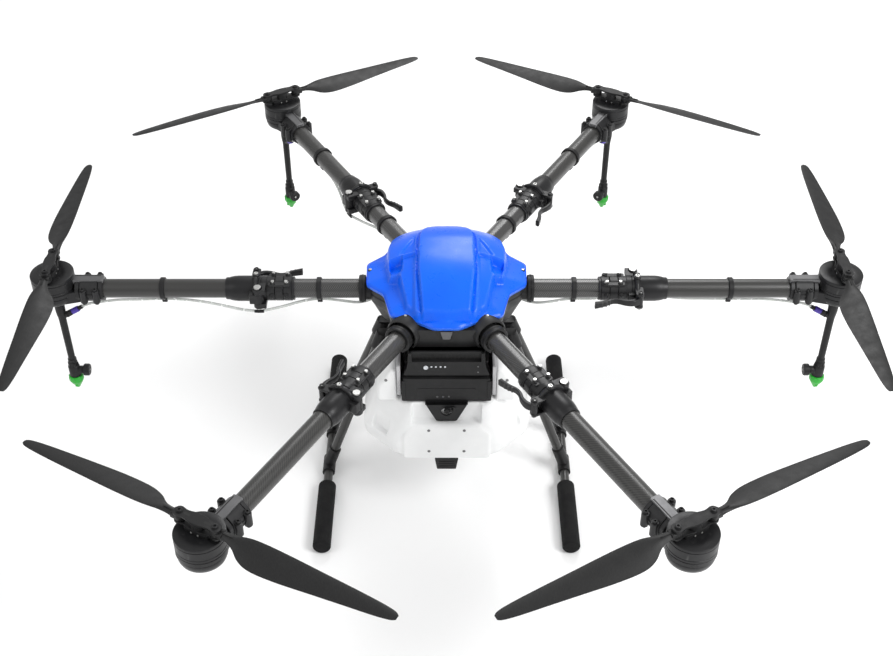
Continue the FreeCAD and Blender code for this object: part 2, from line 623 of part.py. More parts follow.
def battery_case():
    """The battery's housing, wider at its front face, with a handle recess, a ledge and a groove."""
    box = block(-BATTERY_HALF, BATTERY_HALF, FACE_Y + 24, BATTERY_BACK, BATTERY_LOW, BATTERY_HIGH)
    hollow = block(-BATTERY_HALF + 3, BATTERY_HALF - 3, FACE_Y + 62, BATTERY_BACK - 3, BATTERY_LOW + 3,
                   BATTERY_HIGH - 3)
    face_half = [(92, 337), (88, 400), (80, 424.7), (76, 462)]
    face_line = face_half + [(-x, z) for x, z in reversed(face_half)]
    face = side_prism(face_line, FACE_Y - 4, FACE_Y + 26)
    face = face.cut(block(-100, 100, FACE_Y + 9, FACE_Y + 40, 424.7, 470))
    handle = block(-70, 70, FACE_Y - 10, FACE_Y + 6, 440, 470)
    groove = block(-73, 73, FACE_Y - 10, FACE_Y + 5, 397, 404)
    lean = side_prism([(-100, 404), (100, 404), (100, 470), (-100, 470)], FACE_Y - 6, FACE_Y)
    x, z = BUTTON
    button_hole = rod(5.0 + GAP, (x, FACE_Y - 10, z), (x, FACE_Y + 12, z))
    sockets = [rod(3.6 + GAP, (x, BATTERY_BACK - 34, 398), (x, BATTERY_BACK + 2, 398)) for x in (-16, 16)]
    case = union([box, face]).cut(hollow).cut(handle).cut(groove).cut(lean).cut(button_hole)
    return case.cut(sockets)


def battery_cells():
    """Flat cell packs stacked side by side inside the housing."""
    width = (2 * BATTERY_HALF - 6 - 8) / 7
    cells = []
    for i in range(7):
        x = -BATTERY_HALF + 4 + i * (width + 1)
        cells.append(block(x, x + width, FACE_Y + 64, BATTERY_BACK - 38, BATTERY_LOW + 4, BATTERY_HIGH - 4))
    return cells


def battery_button():
    x, z = BUTTON
    return rod(5.0, (x, FACE_Y - 1.5, z), (x, FACE_Y + 7, z))


LOCK_PIVOT = (14.0, 325.0)


def lock_plate():
    """A tapering plate below the battery's face, with a round hole."""
    line = [(-44, 337), (44, 337), (41, 330), (21, 288), (-21, 288), (-41, 330)]
    plate = side_prism(line, FACE_Y - 12, FACE_Y - 8)
    shelf = block(-44, 44, FACE_Y - 12, FACE_Y, 333.6, 337 - FIT)
    hole = rod(11, (0, FACE_Y - 20, 314), (0, FACE_Y, 314))
    x, z = LOCK_PIVOT
    pivot = rod(2.5 + RUNNING, (x, FACE_Y - 20, z), (x, FACE_Y, z))
    return union([plate, shelf]).cut(hole).cut(pivot)


def battery_lock():
    """A turning catch on the lock plate, with a thumb knob, that hangs over the hole."""
    front = FACE_Y - 12 - GAP
    x, z = LOCK_PIVOT
    pad = union([rod(5.0, (x, front - 3, z), (x, front, z)),
                 side_prism([(x, z + 5), (x, z - 5), (x - 14, z - 10), (x - 18, z - 4), (x - 13, z + 2)],
                            front - 3, front),
                 rod(6.0, (x - 13, front - 8, z - 4), (x - 13, front, z - 4))])
    pin = rod(2.5, (x, front - 1, z), (x, FACE_Y - 6.5, z))
    head = rod(4.0, (x, FACE_Y - 8 + GAP, z), (x, FACE_Y - 5.5, z))
    return union([pad, pin, head])


# ---------------------------------------------------------------- tank
def tank_solid(inset):
    """The tank: an eight-sided lower part, two ears beside the battery and a hump behind it."""
    half, front, back = TANK_HALF - inset, TANK_FRONT + inset, TANK_BACK - inset
    c = TANK_CHAMFER - 0.4 * inset
    plan = [(-half + c, front), (half - c, front), (half, front + c), (half, back - c),
            (half - c, back), (-half + c, back), (-half, back - c), (-half, front + c)]
    low, mid = TANK_LOW + inset, TANK_MID - inset
    lower = prism(plan, low, mid)
    top = 140 - inset
    profile = [(-half, low), (half, low), (half, 226), (top, mid), (-top, mid), (-half, 226)]
    lower = lower.common(side_prism(profile, front, back))
    ear_in, ear_out = BAY_HALF + RAIL + 2 + inset, 143 - inset
    ear_line = [(ear_in, mid - 2), (ear_out, mid - 2), (ear_out, EAR_SHOULDER - inset),
                (112 - inset / 2, TANK_HIGH - inset), (ear_in, TANK_HIGH - inset)]
    ear = side_prism(ear_line, -178 + inset, 176 - inset)
    ear = ear.cut(block(60, 160, -50 - inset, 50 + inset, mid, 500))
    near, far = HUMP_FRONT + inset, HUMP_BACK - inset
    hump_line = [(near, mid - 2), (far, mid - 2), (far, HUMP_LOW - inset / 2),
                 (HUMP_TOP - inset / 2, TANK_HIGH - inset), (near, TANK_HIGH - inset)]
    face = Part.Face(outline([(-140 + inset, y, z) for y, z in hump_line]))
    hump = face.extrude(V(280 - 2 * inset, 0, 0))
    return union([lower, ear, mirrored(ear, (1, 0, 0)), hump])


CAP_CENTRE = (0.0, 158.0, 377.0)
CAP_SLOPE = math.atan2(TANK_HIGH - HUMP_LOW, HUMP_BACK - HUMP_TOP)
CAP_TILT = (0.0, math.sin(CAP_SLOPE), math.cos(CAP_SLOPE))


def on_cap(distance):
    return tuple(c + d * distance for c, d in zip(CAP_CENTRE, CAP_TILT))


def tank_shell():
    outer = tank_solid(0.0)
    recess = block(-72, 72, TANK_FRONT - 5, TANK_FRONT + 17, 284, 400)
    panel_line = [(-92, TANK_LOW), (92, TANK_LOW), (92, 258), (70, 283), (-70, 283), (-92, 258)]
    panel = side_prism(panel_line, TANK_FRONT - 4, TANK_FRONT + 2)
    groove = block(BAY_HALF, BAY_HALF + RAIL + 11, -200, HUMP_FRONT, 371, 378)
    grooves = [groove, mirrored(groove, (1, 0, 0))]
    neck = rod(NECK_RADIUS, on_cap(-2), on_cap(8))
    mouth = rod(MOUTH_RADIUS, on_cap(-7), on_cap(30))
    body = union([outer, panel, neck]).cut(recess).cut(grooves)
    hollow = tank_solid(TANK_WALL).cut(block(-75, 75, TANK_FRONT - 5, TANK_FRONT + 20, 281, 400))
    groove_wall = block(BAY_HALF, BAY_HALF + RAIL + 14, -200, 127, 368, 381)
    hollow = hollow.cut([groove_wall, mirrored(groove_wall, (1, 0, 0))])
    drain = rod(14, (0, -168, TANK_LOW - 10), (0, -168, TANK_LOW + 10))
    suction = rod(8 + FIT, (0, 110, 362), (0, 140, 362))
    return body.cut(hollow).cut(mouth).cut(drain).cut(suction)


def tank_cap():
    """A wide filler cap with a knurled rim."""
    disc = rod(CAP_RADIUS, on_cap(9), on_cap(22))
    skirt = rod(CAP_RADIUS, on_cap(1), on_cap(9.5)).cut(rod(NECK_RADIUS + GAP, on_cap(-6), on_cap(8 + GAP)))
    grip = rod(9, on_cap(21), on_cap(30))
    return union([disc, skirt, grip])


def tank_outlet():
    """The drain sump under the front of the tank, with its strainer, and the suction coupling."""
    sump_line = [(-25, 181), (25, 181), (25, 174), (20, 144), (-20, 144), (-25, 174)]
    sump = side_prism(sump_line, -196, -140)
    flange = rod(22, (0, -168, 180), (0, -168, TANK_LOW - FIT))
    strainer = rod(14 - FIT, (0, -168, 180), (0, -168, TANK_LOW + 30))
    strainer = strainer.cut(rod(11, (0, -168, 186), (0, -168, TANK_LOW + 27)))
    coupling = rod(8, (0, 112, 362), (0, 138, 362)).cut(rod(5 + GAP, (0, 110, 362), (0, 142, 362)))
    return [union([sump, flange, strainer]), coupling]


# ---------------------------------------------------------------- pump, hoses and electronics
def spray_pump():
    """The pump hangs behind the battery, with a head, a motor can and a suction probe to the tank."""
    head = block(-26, 26, 78, 104, 352, 396)
    can = rod(19, (0, 91, 396), (0, 91, FLOOR_Z - FIT))
    probe = rod(5, (0, 100, 362), (0, 120, 362))
    probe = probe.cut(rod(3, (0, 104, 362), (0, 121, 362)))
    ports = [rod(4.5, (26 * s, 91, 374), (33 * s, 91, 374)) for s in (-1, 1)]
    tees = [rod(4.5, (26 * s, 91, 388), (33 * s, 91, 388)) for s in (-1, 1)]
    return union([head, can, probe] + ports + tees)


def spray_hoses():
    """Two hoses on each side, from the pump to the middle and the back spray arms."""
    low = ARM_Z - 28
    under = FLOOR_Z - 5

    def arm_points(degrees):
        a = math.radians(degrees)
        places = [(218, -2, low - 7), (INNER_CLIP_R - 14, 0, low), (INNER_CLIP_R + 14, 0, low),
                  (314, 6, low - 4), (350, 19, low - 8),
                  (SPLIT_R - 1.0, PIN_Y, low - 9)]
        cos, sin = math.cos(a), math.sin(a)
        return [(r * cos - y * sin, r * sin + y * cos, z) for r, y, z in places]

    side_run = [(34.1, 91, 374), (52, 91, 377), (68, 91, 388), (80, 90, 403), (94, 87, 416),
                (116, 78, under), (148, 52, under + 2), (182, 16, under + 12)]
    back_run = [(34.1, 91, 388), (50, 92, 390), (64, 97, 399), (74, 108, 410), (82, 124, 418),
                (92, 150, 424)]
    lines = [
        side_run + arm_points(0),
        back_run + arm_points(60),
        [(-x, y, z) for x, y, z in back_run] + arm_points(120),
        [(-x, y, z) for x, y, z in side_run] + arm_points(180),
    ]
    return [hose(line) for line in lines]


def avionics():
    """The power board, the flight controller and the satellite receiver, stacked under the canopy."""
    power = block(-60, 60, -60, 60, ARM_Z + 34, ARM_Z + 40)
    feet = [rod(4, (x, y, ARM_Z + 28.2), (x, y, ARM_Z + 34)) for x in (-50, 50) for y in (-50, 50)]
    power = union([power] + feet)
    controller = block(-28, 28, -50, 20, ARM_Z + 40.2, ARM_Z + 62)
    receiver = union([rod(26, (0, 48, ARM_Z + 62), (0, 48, ARM_Z + 76)),
                      rod(4, (0, 48, ARM_Z + 40.2), (0, 48, ARM_Z + 62))])
    return [power, controller, receiver]


def pins_and_screws():
    """The six fold pins, and the screws of the inner clamps, the canopy, the battery face and the tank."""
    def on_pin(radius, low, high):
        return rod(radius, (SPLIT_R, PIN_Y, ARM_Z + low), (SPLIT_R, PIN_Y, ARM_Z + high))

    pin = union([on_pin(PIN_RADIUS, -EAR_TOP - 3, EAR_TOP + 3),
                 on_pin(7.5, EAR_TOP + FIT, EAR_TOP + 4), on_pin(7.5, -EAR_TOP - 4, -EAR_TOP - FIT)])
    bolts = [rod(3.6, (r, y, ARM_Z + 27.6), (r, y, ARM_Z + 31)) for r in (334, 362) for y in (-15, 15)]
    per_arm = [pin] + bolts
    screws = []
    for shape in per_arm:
        screws += on_arms(shape)
    return screws


# ---------------------------------------------------------------- export
def compound(shapes):
    return shapes if isinstance(shapes, Part.Shape) else Part.makeCompound(list(shapes))


def main():
    os.makedirs("parts", exist_ok=True)
    nodes = {
        "canopy_shell": canopy_shell(),
        "lower_fuselage": lower_fuselage(),
        "centre_plates": centre_plates(),
        "arm_clamps": arm_clamps(),
        "inner_arm_tubes": on_arms(inner_tube()),
        "pins_and_screws": pins_and_screws(),
        "landing_gear_tubes": landing_gear_tubes(),
        "landing_gear_clamps": landing_gear_clamps(),
        "skid_foam": skid_foam(),
        "battery_bay": battery_bay(),
        "avionics": avionics(),
        "spray_pump": spray_pump(),
        "spray_hoses": spray_hoses(),
        "tank_shell": tank_shell(),
        "tank_cap": tank_cap(),
        "tank_outlet": tank_outlet(),
        "battery_case": [battery_case(), lock_plate()],
        "battery_cells": battery_cells(),
        "battery_button": battery_button(),
        "battery_lock": battery_lock(),
    }
    tube, handle, lance, spinner = outer_tube(), lever(), spray_lance(), rotor()
    fittings = {sprays: arm_fittings(sprays) for sprays in (True, False)}
    pairs = {way: blade_pair(way) for way in (True, False)}
    for name, angle in ARMS.items():
        nodes["arm_tube_" + name] = turned(tube, angle)
        nodes["arm_fittings_" + name] = [turned(s, angle) for s in fittings[name in SPRAY_ARMS]]
        nodes["lever_" + name] = turned(handle, angle)
        nodes["rotor_" + name] = turned(spinner, angle)
        for side, foil in pairs[name in TURNS_LEFT].items():
            nodes["blade_" + name + "_" + side] = turned(foil, angle)
    for name in SPRAY_ARMS:
        nodes["spray_lance_" + name] = [turned(s, ARMS[name]) for s in lance]
    for node, shape in nodes.items():
        shape = compound(shape)
        solids = len(shape.Solids)
        if not shape.isValid() or solids < 1:
            print("NOT VALID", node)
        shape.exportStep("parts/" + node + ".step")
        box = shape.BoundBox
        size = (node, solids, shape.Volume / 1000, box.ZMin, box.ZMax)
        print("%-22s %2d solids %9.1f cm3  z %.1f to %.1f" % size)
    print(len(nodes), "nodes")


main()
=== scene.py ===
import json
from math import atan2, cos, hypot, pi, radians, sin, sqrt

import bmesh
import bpy
from mathutils import Matrix, Vector


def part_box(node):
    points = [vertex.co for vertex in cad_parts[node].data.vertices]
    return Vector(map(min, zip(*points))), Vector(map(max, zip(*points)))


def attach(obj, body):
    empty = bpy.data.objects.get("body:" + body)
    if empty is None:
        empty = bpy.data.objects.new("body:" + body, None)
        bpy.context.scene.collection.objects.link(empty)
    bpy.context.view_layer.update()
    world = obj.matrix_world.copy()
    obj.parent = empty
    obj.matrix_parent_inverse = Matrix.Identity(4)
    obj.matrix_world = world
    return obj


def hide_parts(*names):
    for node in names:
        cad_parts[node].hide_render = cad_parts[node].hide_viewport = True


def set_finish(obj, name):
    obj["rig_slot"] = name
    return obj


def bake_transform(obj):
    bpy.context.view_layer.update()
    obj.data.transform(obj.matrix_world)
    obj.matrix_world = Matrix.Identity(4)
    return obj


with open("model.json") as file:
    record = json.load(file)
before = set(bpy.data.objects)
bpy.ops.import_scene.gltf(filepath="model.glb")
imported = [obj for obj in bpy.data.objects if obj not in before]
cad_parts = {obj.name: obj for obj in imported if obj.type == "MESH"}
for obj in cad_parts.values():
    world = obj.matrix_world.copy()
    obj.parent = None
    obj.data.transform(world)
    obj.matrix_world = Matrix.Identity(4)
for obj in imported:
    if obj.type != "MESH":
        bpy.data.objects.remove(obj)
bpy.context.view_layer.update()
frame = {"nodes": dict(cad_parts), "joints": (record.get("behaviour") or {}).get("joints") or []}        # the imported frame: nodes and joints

# Lengths in this script are millimetres, and a mesh is scaled to metres once, when it becomes a piece.
# Along an arm, x runs outwards from the drone's centre, y to the left of it and z up.
MM = 0.001
ARMS = {"mr": 0, "br": 60, "bl": 120, "ml": 180, "fl": 240, "fr": 300}
SPRAY_ARMS = ("mr", "br", "bl", "ml")
TURNS_LEFT = ("mr", "fl", "bl")
ROOT = "airframe"
TAU = 2 * pi
UP, FRONT = (0, 0, 1), (0, -1, 0)
# outlines in (x, z), raised towards the front
FRONT_ON = Matrix.Rotation(pi / 2, 4, "X")
# outlines in (y, z), raised to +X
SIDE_ON = Matrix(((0, 0, 1, 0), (1, 0, 0, 0), (0, 1, 0, 0), (0, 0, 0, 1)))


def joint_at(name):
    """The joint's point in millimetres."""
    found = next(j for j in frame["joints"] if j["name"] == name)
    return Vector(found["pos_m"]) / MM


def node_box(name):
    low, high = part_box(name)
    return low / MM, high / MM


# ---------------------------------------------------------------- places read from the frame
MOTOR_R = joint_at("rotor_mr_spin").x
FOLD = joint_at("fold_mr")
LEVER = joint_at("lever_mr_open")
BLADE_Z = joint_at("blade_mr_a_fold").z
BLADE_Y = abs(joint_at("blade_mr_a_fold").y)
TUBE_LOW, TUBE_HIGH = node_box("arm_tube_mr")
ARM_Z = (TUBE_LOW.z + TUBE_HIGH.z) / 2
TUBE_RADIUS = (TUBE_HIGH.z - TUBE_LOW.z) / 2
BELL_TOP = ARM_Z + 41.0
BASE_BOTTOM = BELL_TOP - 64.0
PROP_TIP = node_box("blade_mr_a")[1].y
PORT_Z = BELL_TOP - 118.0
VALVE_Z = BELL_TOP - 268.0
INNER_CLIP, OUTER_CLIP = 267.0, 595.0        # where the hose clips sit along an arm
HOSE_DROP = 28.0                             # the clipped hose's depth below the middle of an arm


# ---------------------------------------------------------------- shape helpers
def link(thing):
    bpy.context.scene.collection.objects.link(thing)


def shell(bm, rings, mat=0, loop=False, weave=None):
    """Quads between rings of points, capped at both ends, or joined end to start with loop."""
    layer = bm.loops.layers.uv.verify()
    made = [[bm.verts.new(p) for p in ring] for ring in rings]
    count = len(made[0])
    ups = [0.0]
    for a, b in zip(rings, rings[1:]):
        ups.append(ups[-1] + (Vector(b[0]) - Vector(a[0])).length)
    around = weave or 4.0 * count
    pairs = list(zip(range(len(made)), range(1, len(made))))
    if loop:
        pairs.append((len(made) - 1, 0))
        ups.append(ups[-1] + 1.0)
    for i, j in pairs:
        up = (ups[i], ups[i + 1])
        for k in range(count):
            n = (k + 1) % count
            face = bm.faces.new((made[i][k], made[i][n], made[j][n], made[j][k]))
            face.material_index = mat
            us = (k * around / count, (k + 1) * around / count)
            for corner, uv in zip(face.loops, ((us[0], up[0]), (us[1], up[0]), (us[1], up[1]),
                                               (us[0], up[1]))):
                corner[layer].uv = uv
    if not loop:
        for ring in (made[0], made[-1]):
            cap = bm.faces.new(ring)
            cap.material_index = mat
            for corner in cap.loops:
                corner[layer].uv = (corner.vert.co.x, corner.vert.co.y)


def frame_at(origin, axis, side=None):
    """A transform whose Z runs along an axis from an origin."""
    z = Vector(axis).normalized()
    guess = Vector(side) if side else (Vector((0, 0, 1)) if abs(z.z) < 0.9 else Vector((1, 0, 0)))
    x = (guess - z * guess.dot(z)).normalized()
    y = z.cross(x)
    return Matrix.Translation(Vector(origin)) @ Matrix((x, y, z)).transposed().to_4x4()


def circle(place, radius, z, steps):
    return [place @ Vector((radius * cos(TAU * k / steps), radius * sin(TAU * k / steps), z))
            for k in range(steps)]


def lathe(bm, profile, place=Matrix(), mat=0, steps=56, loop=False, weave=None):
    """A (radius, height) profile turned about the Z axis of a place."""
    shell(bm, [circle(place, r, z, steps) for r, z in profile], mat, loop, weave)


def raised(base, *profile):
    """A (radius, height) profile with its heights counted from a base."""
    return [(r, base + z) for r, z in profile]


def built(shape, *more):
    """A new mesh with one shape function's work in it."""
    bm = bmesh.new()
    shape(bm, *more)
    return bm


def up_at(x, y=0.0, z=0.0):
    return Matrix.Translation(Vector((x, y, z)))


MOTOR = up_at(MOTOR_R)


def spun(angle, place=Matrix()):
    """A place turned about its Z axis, in degrees."""
    return place @ Matrix.Rotation(radians(angle), 4, "Z")


def around(count, place=Matrix(), shift=0.0):
    """A place turned evenly about its Z axis, count times."""
    return [place @ Matrix.Rotation(TAU * (k + shift) / count, 4, "Z") for k in range(count)]


def along_arm(r=0.0, y=0.0, z=None):
    """A place on the arm whose Z points outwards."""
    return frame_at((r, y, ARM_Z if z is None else z), (1, 0, 0))


def rounded(points, radius, steps=4):
    """A closed outline with its corners turned into arcs."""
    count, line = len(points), []
    for i, here in enumerate(points):
        p = Vector(here)
        a = Vector(points[i - 1]) - p
        b = Vector(points[(i + 1) % count]) - p
        reach = min(radius, 0.45 * a.length, 0.45 * b.length)
        start, end = p + a.normalized() * reach, p + b.normalized() * reach
        for k in range(steps + 1):
            t = k / steps
            line.append(tuple(start * (1 - t) ** 2 + p * 2 * t * (1 - t) + end * t ** 2))
    return line


def prism(bm, points, z0, z1, place=Matrix(), mat=0, edge=0.0):
    """An outline raised from z0 to z1, with a small chamfer at both ends if edge is given."""
    centre = sum((Vector(p) for p in points), Vector((0, 0))) / len(points)

    def ring(z, inset):
        out = []
        for p in points:
            d = Vector(p) - centre
            q = centre + d * max(0.1, 1 - inset / max(d.length, 0.01))
            out.append(place @ Vector((q.x, q.y, z)))
        return out

    if edge:
        shell(bm, [ring(z0, edge), ring(z0 + edge, 0), ring(z1 - edge, 0), ring(z1, edge)], mat)
    else:
        shell(bm, [ring(z0, 0), ring(z1, 0)], mat)


def box(bm, low, high, mat=0, edge=0.8, corner=1.5):
    """A block with rounded vertical corners and chamfered ends."""
    (x0, y0, z0), (x1, y1, z1) = low, high
    line = rounded([(x0, y0), (x1, y0), (x1, y1), (x0, y1)], corner, 3)
    prism(bm, line, z0, z1, mat=mat, edge=edge)


def wedge(half0, y0, half1, y1):
    """Four corners, symmetric about x = 0, with a half width at each end."""
    return [(-half0, y0), (half0, y0), (half1, y1), (-half1, y1)]


def ribs(bm, count, place, foot, tip, z0, z1, mat=0, edge=0.3, shift=0.0, corner=None):
    """Evenly spaced ribs about a place's Z axis; foot and tip are each a radius and a half width."""
    line = [(foot[0], -foot[1]), (tip[0], -tip[1]), tip, foot]
    if corner:
        line = rounded(line, corner)
    for at in around(count, place, shift):
        prism(bm, line, z0, z1, at, mat, edge=edge)


def spline(points, steps=6):
    """A smooth line through points."""
    pts = [Vector(p) for p in points]
    line = []
    for i in range(len(pts) - 1):
        p0, p1, p2, p3 = pts[max(i - 1, 0)], pts[i], pts[i + 1], pts[min(i + 2, len(pts) - 1)]
        for k in range(steps):
            t = k / steps
            line.append(0.5 * ((2 * p1) + (p2 - p0) * t + (2 * p0 - 5 * p1 + 4 * p2 - p3) * t * t
                               + (3 * p1 - p0 - 3 * p2 + p3) * t ** 3))
    line.append(pts[-1])
    return line


def sweep(bm, line, radii, mat=0, steps=16, flat=1.0, weave=None):
    """A round or oval bar along a line, with a radius at each point."""
    if not isinstance(radii, (list, tuple)):
        radii = [radii] * len(line)
    side, rings = None, []
    for i, p in enumerate(line):
        ahead = line[min(i + 1, len(line) - 1)] - line[max(i - 1, 0)]
        place = frame_at(p, ahead, side)
        side = place.col[0].to_3d()
        rings.append([place @ Vector((radii[i] * cos(TAU * k / steps),
                                      radii[i] * flat * sin(TAU * k / steps), 0)) for k in range(steps)])
    shell(bm, rings, mat, weave=weave)


def hex_reach(angle, flats):
    """The radius of a hexagon at an angle."""
    sixth = radians(60)
    return flats / 2 / cos((angle + sixth / 2) % sixth - sixth / 2)


def socket_screw(bm, at, axis, radius, height, mat=0):
    """A cap screw's head with a hexagonal socket."""
    place = frame_at(at, axis)
    steps = 24
    outer = [(radius, 0), (radius, height * 0.82), (radius * 0.86, height)]
    rings = [circle(place, r, z, steps) for r, z in outer]
    for z in (height, height * 0.35):
        ring = []
        for k in range(steps):
            reach = hex_reach(TAU * k / steps, radius * 0.95)
            ring.append(place @ Vector((reach * cos(TAU * k / steps), reach * sin(TAU * k / steps), z)))
        rings.append(ring)
    shell(bm, rings, mat)


def hex_nut(bm, at, axis, flats, height, mat=0):
    place = frame_at(at, axis)
    line = [(hex_reach(a, flats) * cos(a), hex_reach(a, flats) * sin(a))
            for a in (radians(30 + 60 * k) for k in range(6))]
    prism(bm, line, 0, height, place, mat, edge=0.6)


def octagon(flats, chamfer=0.12):
    """The corners of an octagonal section, slightly rounded."""
    corner = flats / 2 / cos(pi / 8)
    ring = [(corner * cos(pi / 8 + i * pi / 4), corner * sin(pi / 8 + i * pi / 4))
            for i in range(8)]
    return rounded(ring, flats * chamfer, 3)


def make(name, bm, finishes, body, slot, stands_for=(), turn=0.0, bevel=0.5, smooth=32, ride=True):
    """Turns a bmesh in millimetres into a piece in metres that rides on a body, with its finishes by name."""
    bmesh.ops.recalc_face_normals(bm, faces=bm.faces)
    mesh = bpy.data.meshes.new(name)
    bm.to_mesh(mesh)
    bm.free()
    mesh.transform(spun(turn) @ Matrix.Scale(MM, 4))
    for finish in finishes.split():
        mesh.materials.append(MATERIALS[finish])
    mesh.polygons.foreach_set("use_smooth", [True] * len(mesh.polygons))
    mesh.set_sharp_from_angle(angle=radians(smooth))
    piece = bpy.data.objects.new(name, mesh)
    link(piece)
    if bevel:
        soften(piece, bevel)
    if ride:
        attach(piece, body)
    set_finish(piece, slot)
    if stands_for:
        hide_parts(*stands_for)
    return piece


def soften(piece, width, segments=2):
    """Rounds a piece's sharp edges and evens its shading."""
    round_off = piece.modifiers.new("rounded_edges", "BEVEL")
    round_off.width = width * MM
    round_off.segments = segments
    round_off.limit_method = "ANGLE"
    round_off.angle_limit = radians(32)
    round_off.harden_normals = True
    return piece


def soften_cad(name, width, finish):
    """Rounds the sharp edges of a CAD node that stays in view, and gives it its finish."""
    piece = frame["nodes"][name]
    mesh = piece.data
    normals = mesh.attributes.get("custom_normal")
    if normals:
        mesh.attributes.remove(normals)
    weld = piece.modifiers.new("weld", "WELD")
    weld.merge_threshold = 0.02 * MM
    flatten = piece.modifiers.new("flat_faces", "DECIMATE")
    flatten.decimate_type = "DISSOLVE"
    flatten.angle_limit = radians(0.5)
    mesh.polygons.foreach_set("use_smooth", [True] * len(mesh.polygons))
    mesh.set_sharp_from_angle(angle=radians(32))
    soften(piece, width)
    mesh.materials.clear()
    mesh.materials.append(MATERIALS[finish])


# ---------------------------------------------------------------- materials
class Nodes:
    """A material's node tree with short calls to add and link nodes."""

    def __init__(self, name):
        self.material = bpy.data.materials.new(name)
        self.material.use_nodes = True
        self.tree = self.material.node_tree
        self.surface = self.tree.nodes["Principled BSDF"]

    def add(self, kind, operation=None, **inputs):
        node = self.tree.nodes.new("ShaderNode" + kind)
        if operation:
            node.operation = operation
        for key, value in inputs.items():
            self.put(node, key.replace("_", " "), value)
        return node

    def put(self, node, key, value):
        """Links an output into a socket, or sets the socket's own value."""
        socket = node.inputs[int(key[1:])] if key[0] == "i" and key[1:].isdigit() else node.inputs[key]
        if isinstance(value, bpy.types.NodeSocket):
            self.tree.links.new(value, socket)
        else:
            socket.default_value = value

    def math(self, operation, a, b=0.0, c=0.0):
        return self.add("Math", operation, i0=a, i1=b, i2=c).outputs[0]

    def place(self):
        return self.add("TexCoord").outputs["Object"]

    def noise(self, scale, detail=4.0, rough=0.55, vector=None, stretch=None):
        vector = vector or self.place()
        if stretch:
            vector = self.add("Mapping", Vector=vector, Scale=stretch).outputs[0]
        return self.add("TexNoise", Vector=vector, Scale=scale, Detail=detail,
                        Roughness=rough).outputs["Fac"]

    def ramp(self, value, stops):
        node = self.add("ValToRGB", Fac=value)
        marks = node.color_ramp.elements
        marks[0].position, marks[0].color = stops[0][0], (*stops[0][1], 1)
        marks[1].position, marks[1].color = stops[-1][0], (*stops[-1][1], 1)
        for position, colour in stops[1:-1]:
            marks.new(position).color = (*colour, 1)
        return node.outputs["Color"]

    def spread(self, value, low, high, start=0.3, end=0.7):
        return self.add("MapRange", Value=value, From_Min=start, From_Max=end, To_Min=low,
                        To_Max=high).outputs[0]

    def bump(self, height, strength, distance, normal=None):
        inputs = {"Height": height, "Strength": strength, "Distance": distance}
        if normal:
            inputs["Normal"] = normal
        return self.add("Bump", **inputs).outputs[0]

    def mix(self, share, a, b):
        node = self.add("Mix")
        node.data_type = "RGBA"
        self.put(node, "i0", share)
        for index, value in ((6, a), (7, b)):
            linked = isinstance(value, bpy.types.NodeSocket)
            self.put(node, "i%d" % index, value if linked else (*value, 1))
        return node.outputs[2]

    def edges(self, low=0.52, high=0.6):
        """High along convex edges."""
        return self.spread(self.add("NewGeometry").outputs["Pointiness"], 0.0, 1.0, low, high)

    def finish(self, colour, rough, normal=None, **sockets):
        self.put(self.surface, "Base Color", colour)
        self.put(self.surface, "Roughness", rough)
        if normal:
            self.put(self.surface, "Normal", normal)
        for key, value in sockets.items():
            self.put(self.surface, key.replace("_", " "), value)
        return self.material


def shades(colour, amount):
    return [tuple(max(0.0, c * (1 - amount)) for c in colour),
            tuple(min(1.0, c * (1 + amount)) for c in colour)]


def surface(name, colour, rough, metal=0.0, grain=1400.0, depth=0.25, mottle=0.12, wear=None, **sockets):
    """A moulded, cast or painted surface: close shades, uneven gloss, fine grain and rubbed edges."""
    n = Nodes(name)
    low, high = shades(colour, mottle)
    cloud = n.noise(22.0, 6.0)
    tone = n.ramp(cloud, [(0.3, low), (0.7, high)])
    if wear:
        rub = n.math("MULTIPLY", n.edges(), n.noise(160.0, 5.0))
        tone = n.mix(rub, tone, wear)
    gloss = n.spread(n.noise(70.0, 5.0), rough * 0.85, rough * 1.18)
    normal = n.bump(n.noise(grain, 3.0), depth, 0.0002)
    return n.finish(tone, gloss, normal, Metallic=metal, **sockets)


def twill(name, light, dark, rough, tow=2.244):
    """Two-by-two carbon twill under a thin satin lacquer, from a layout in millimetres."""
    n = Nodes(name)
    flat = n.add("SeparateXYZ", Vector=n.add("UVMap").outputs[0])
    u = n.math("DIVIDE", flat.outputs[0], tow)
    v = n.math("DIVIDE", flat.outputs[1], tow)
    step = n.math("ADD", n.math("FLOOR", u), n.math("FLOOR", v))
    warp = n.math("LESS_THAN", n.math("FLOORED_MODULO", step, 4.0), 2.0)
    across_u = n.math("PINGPONG", u, 0.5)
    across_v = n.math("PINGPONG", v, 0.5)
    crown = n.math("ADD", n.math("MULTIPLY", warp, across_u),
                   n.math("MULTIPLY", n.math("SUBTRACT", 1.0, warp), across_v))
    strands = n.noise(500.0, 3.0)
    share = n.math("ADD", n.math("MULTIPLY", warp, 0.62), n.math("MULTIPLY", strands, 0.38))
    tone = n.ramp(share, [(0.1, dark), (0.9, light)])
    tone = n.mix(n.spread(crown, 0.55, 0.0, 0.0, 0.16), tone, (0.004, 0.004, 0.0045))
    gloss = n.spread(warp, rough * 0.8, rough * 1.2, 0.0, 1.0)
    normal = n.bump(crown, 0.35, 0.0004)
    return n.finish(tone, gloss, normal, Coat_Weight=0.35, Coat_Roughness=0.22)


MATERIALS = {}


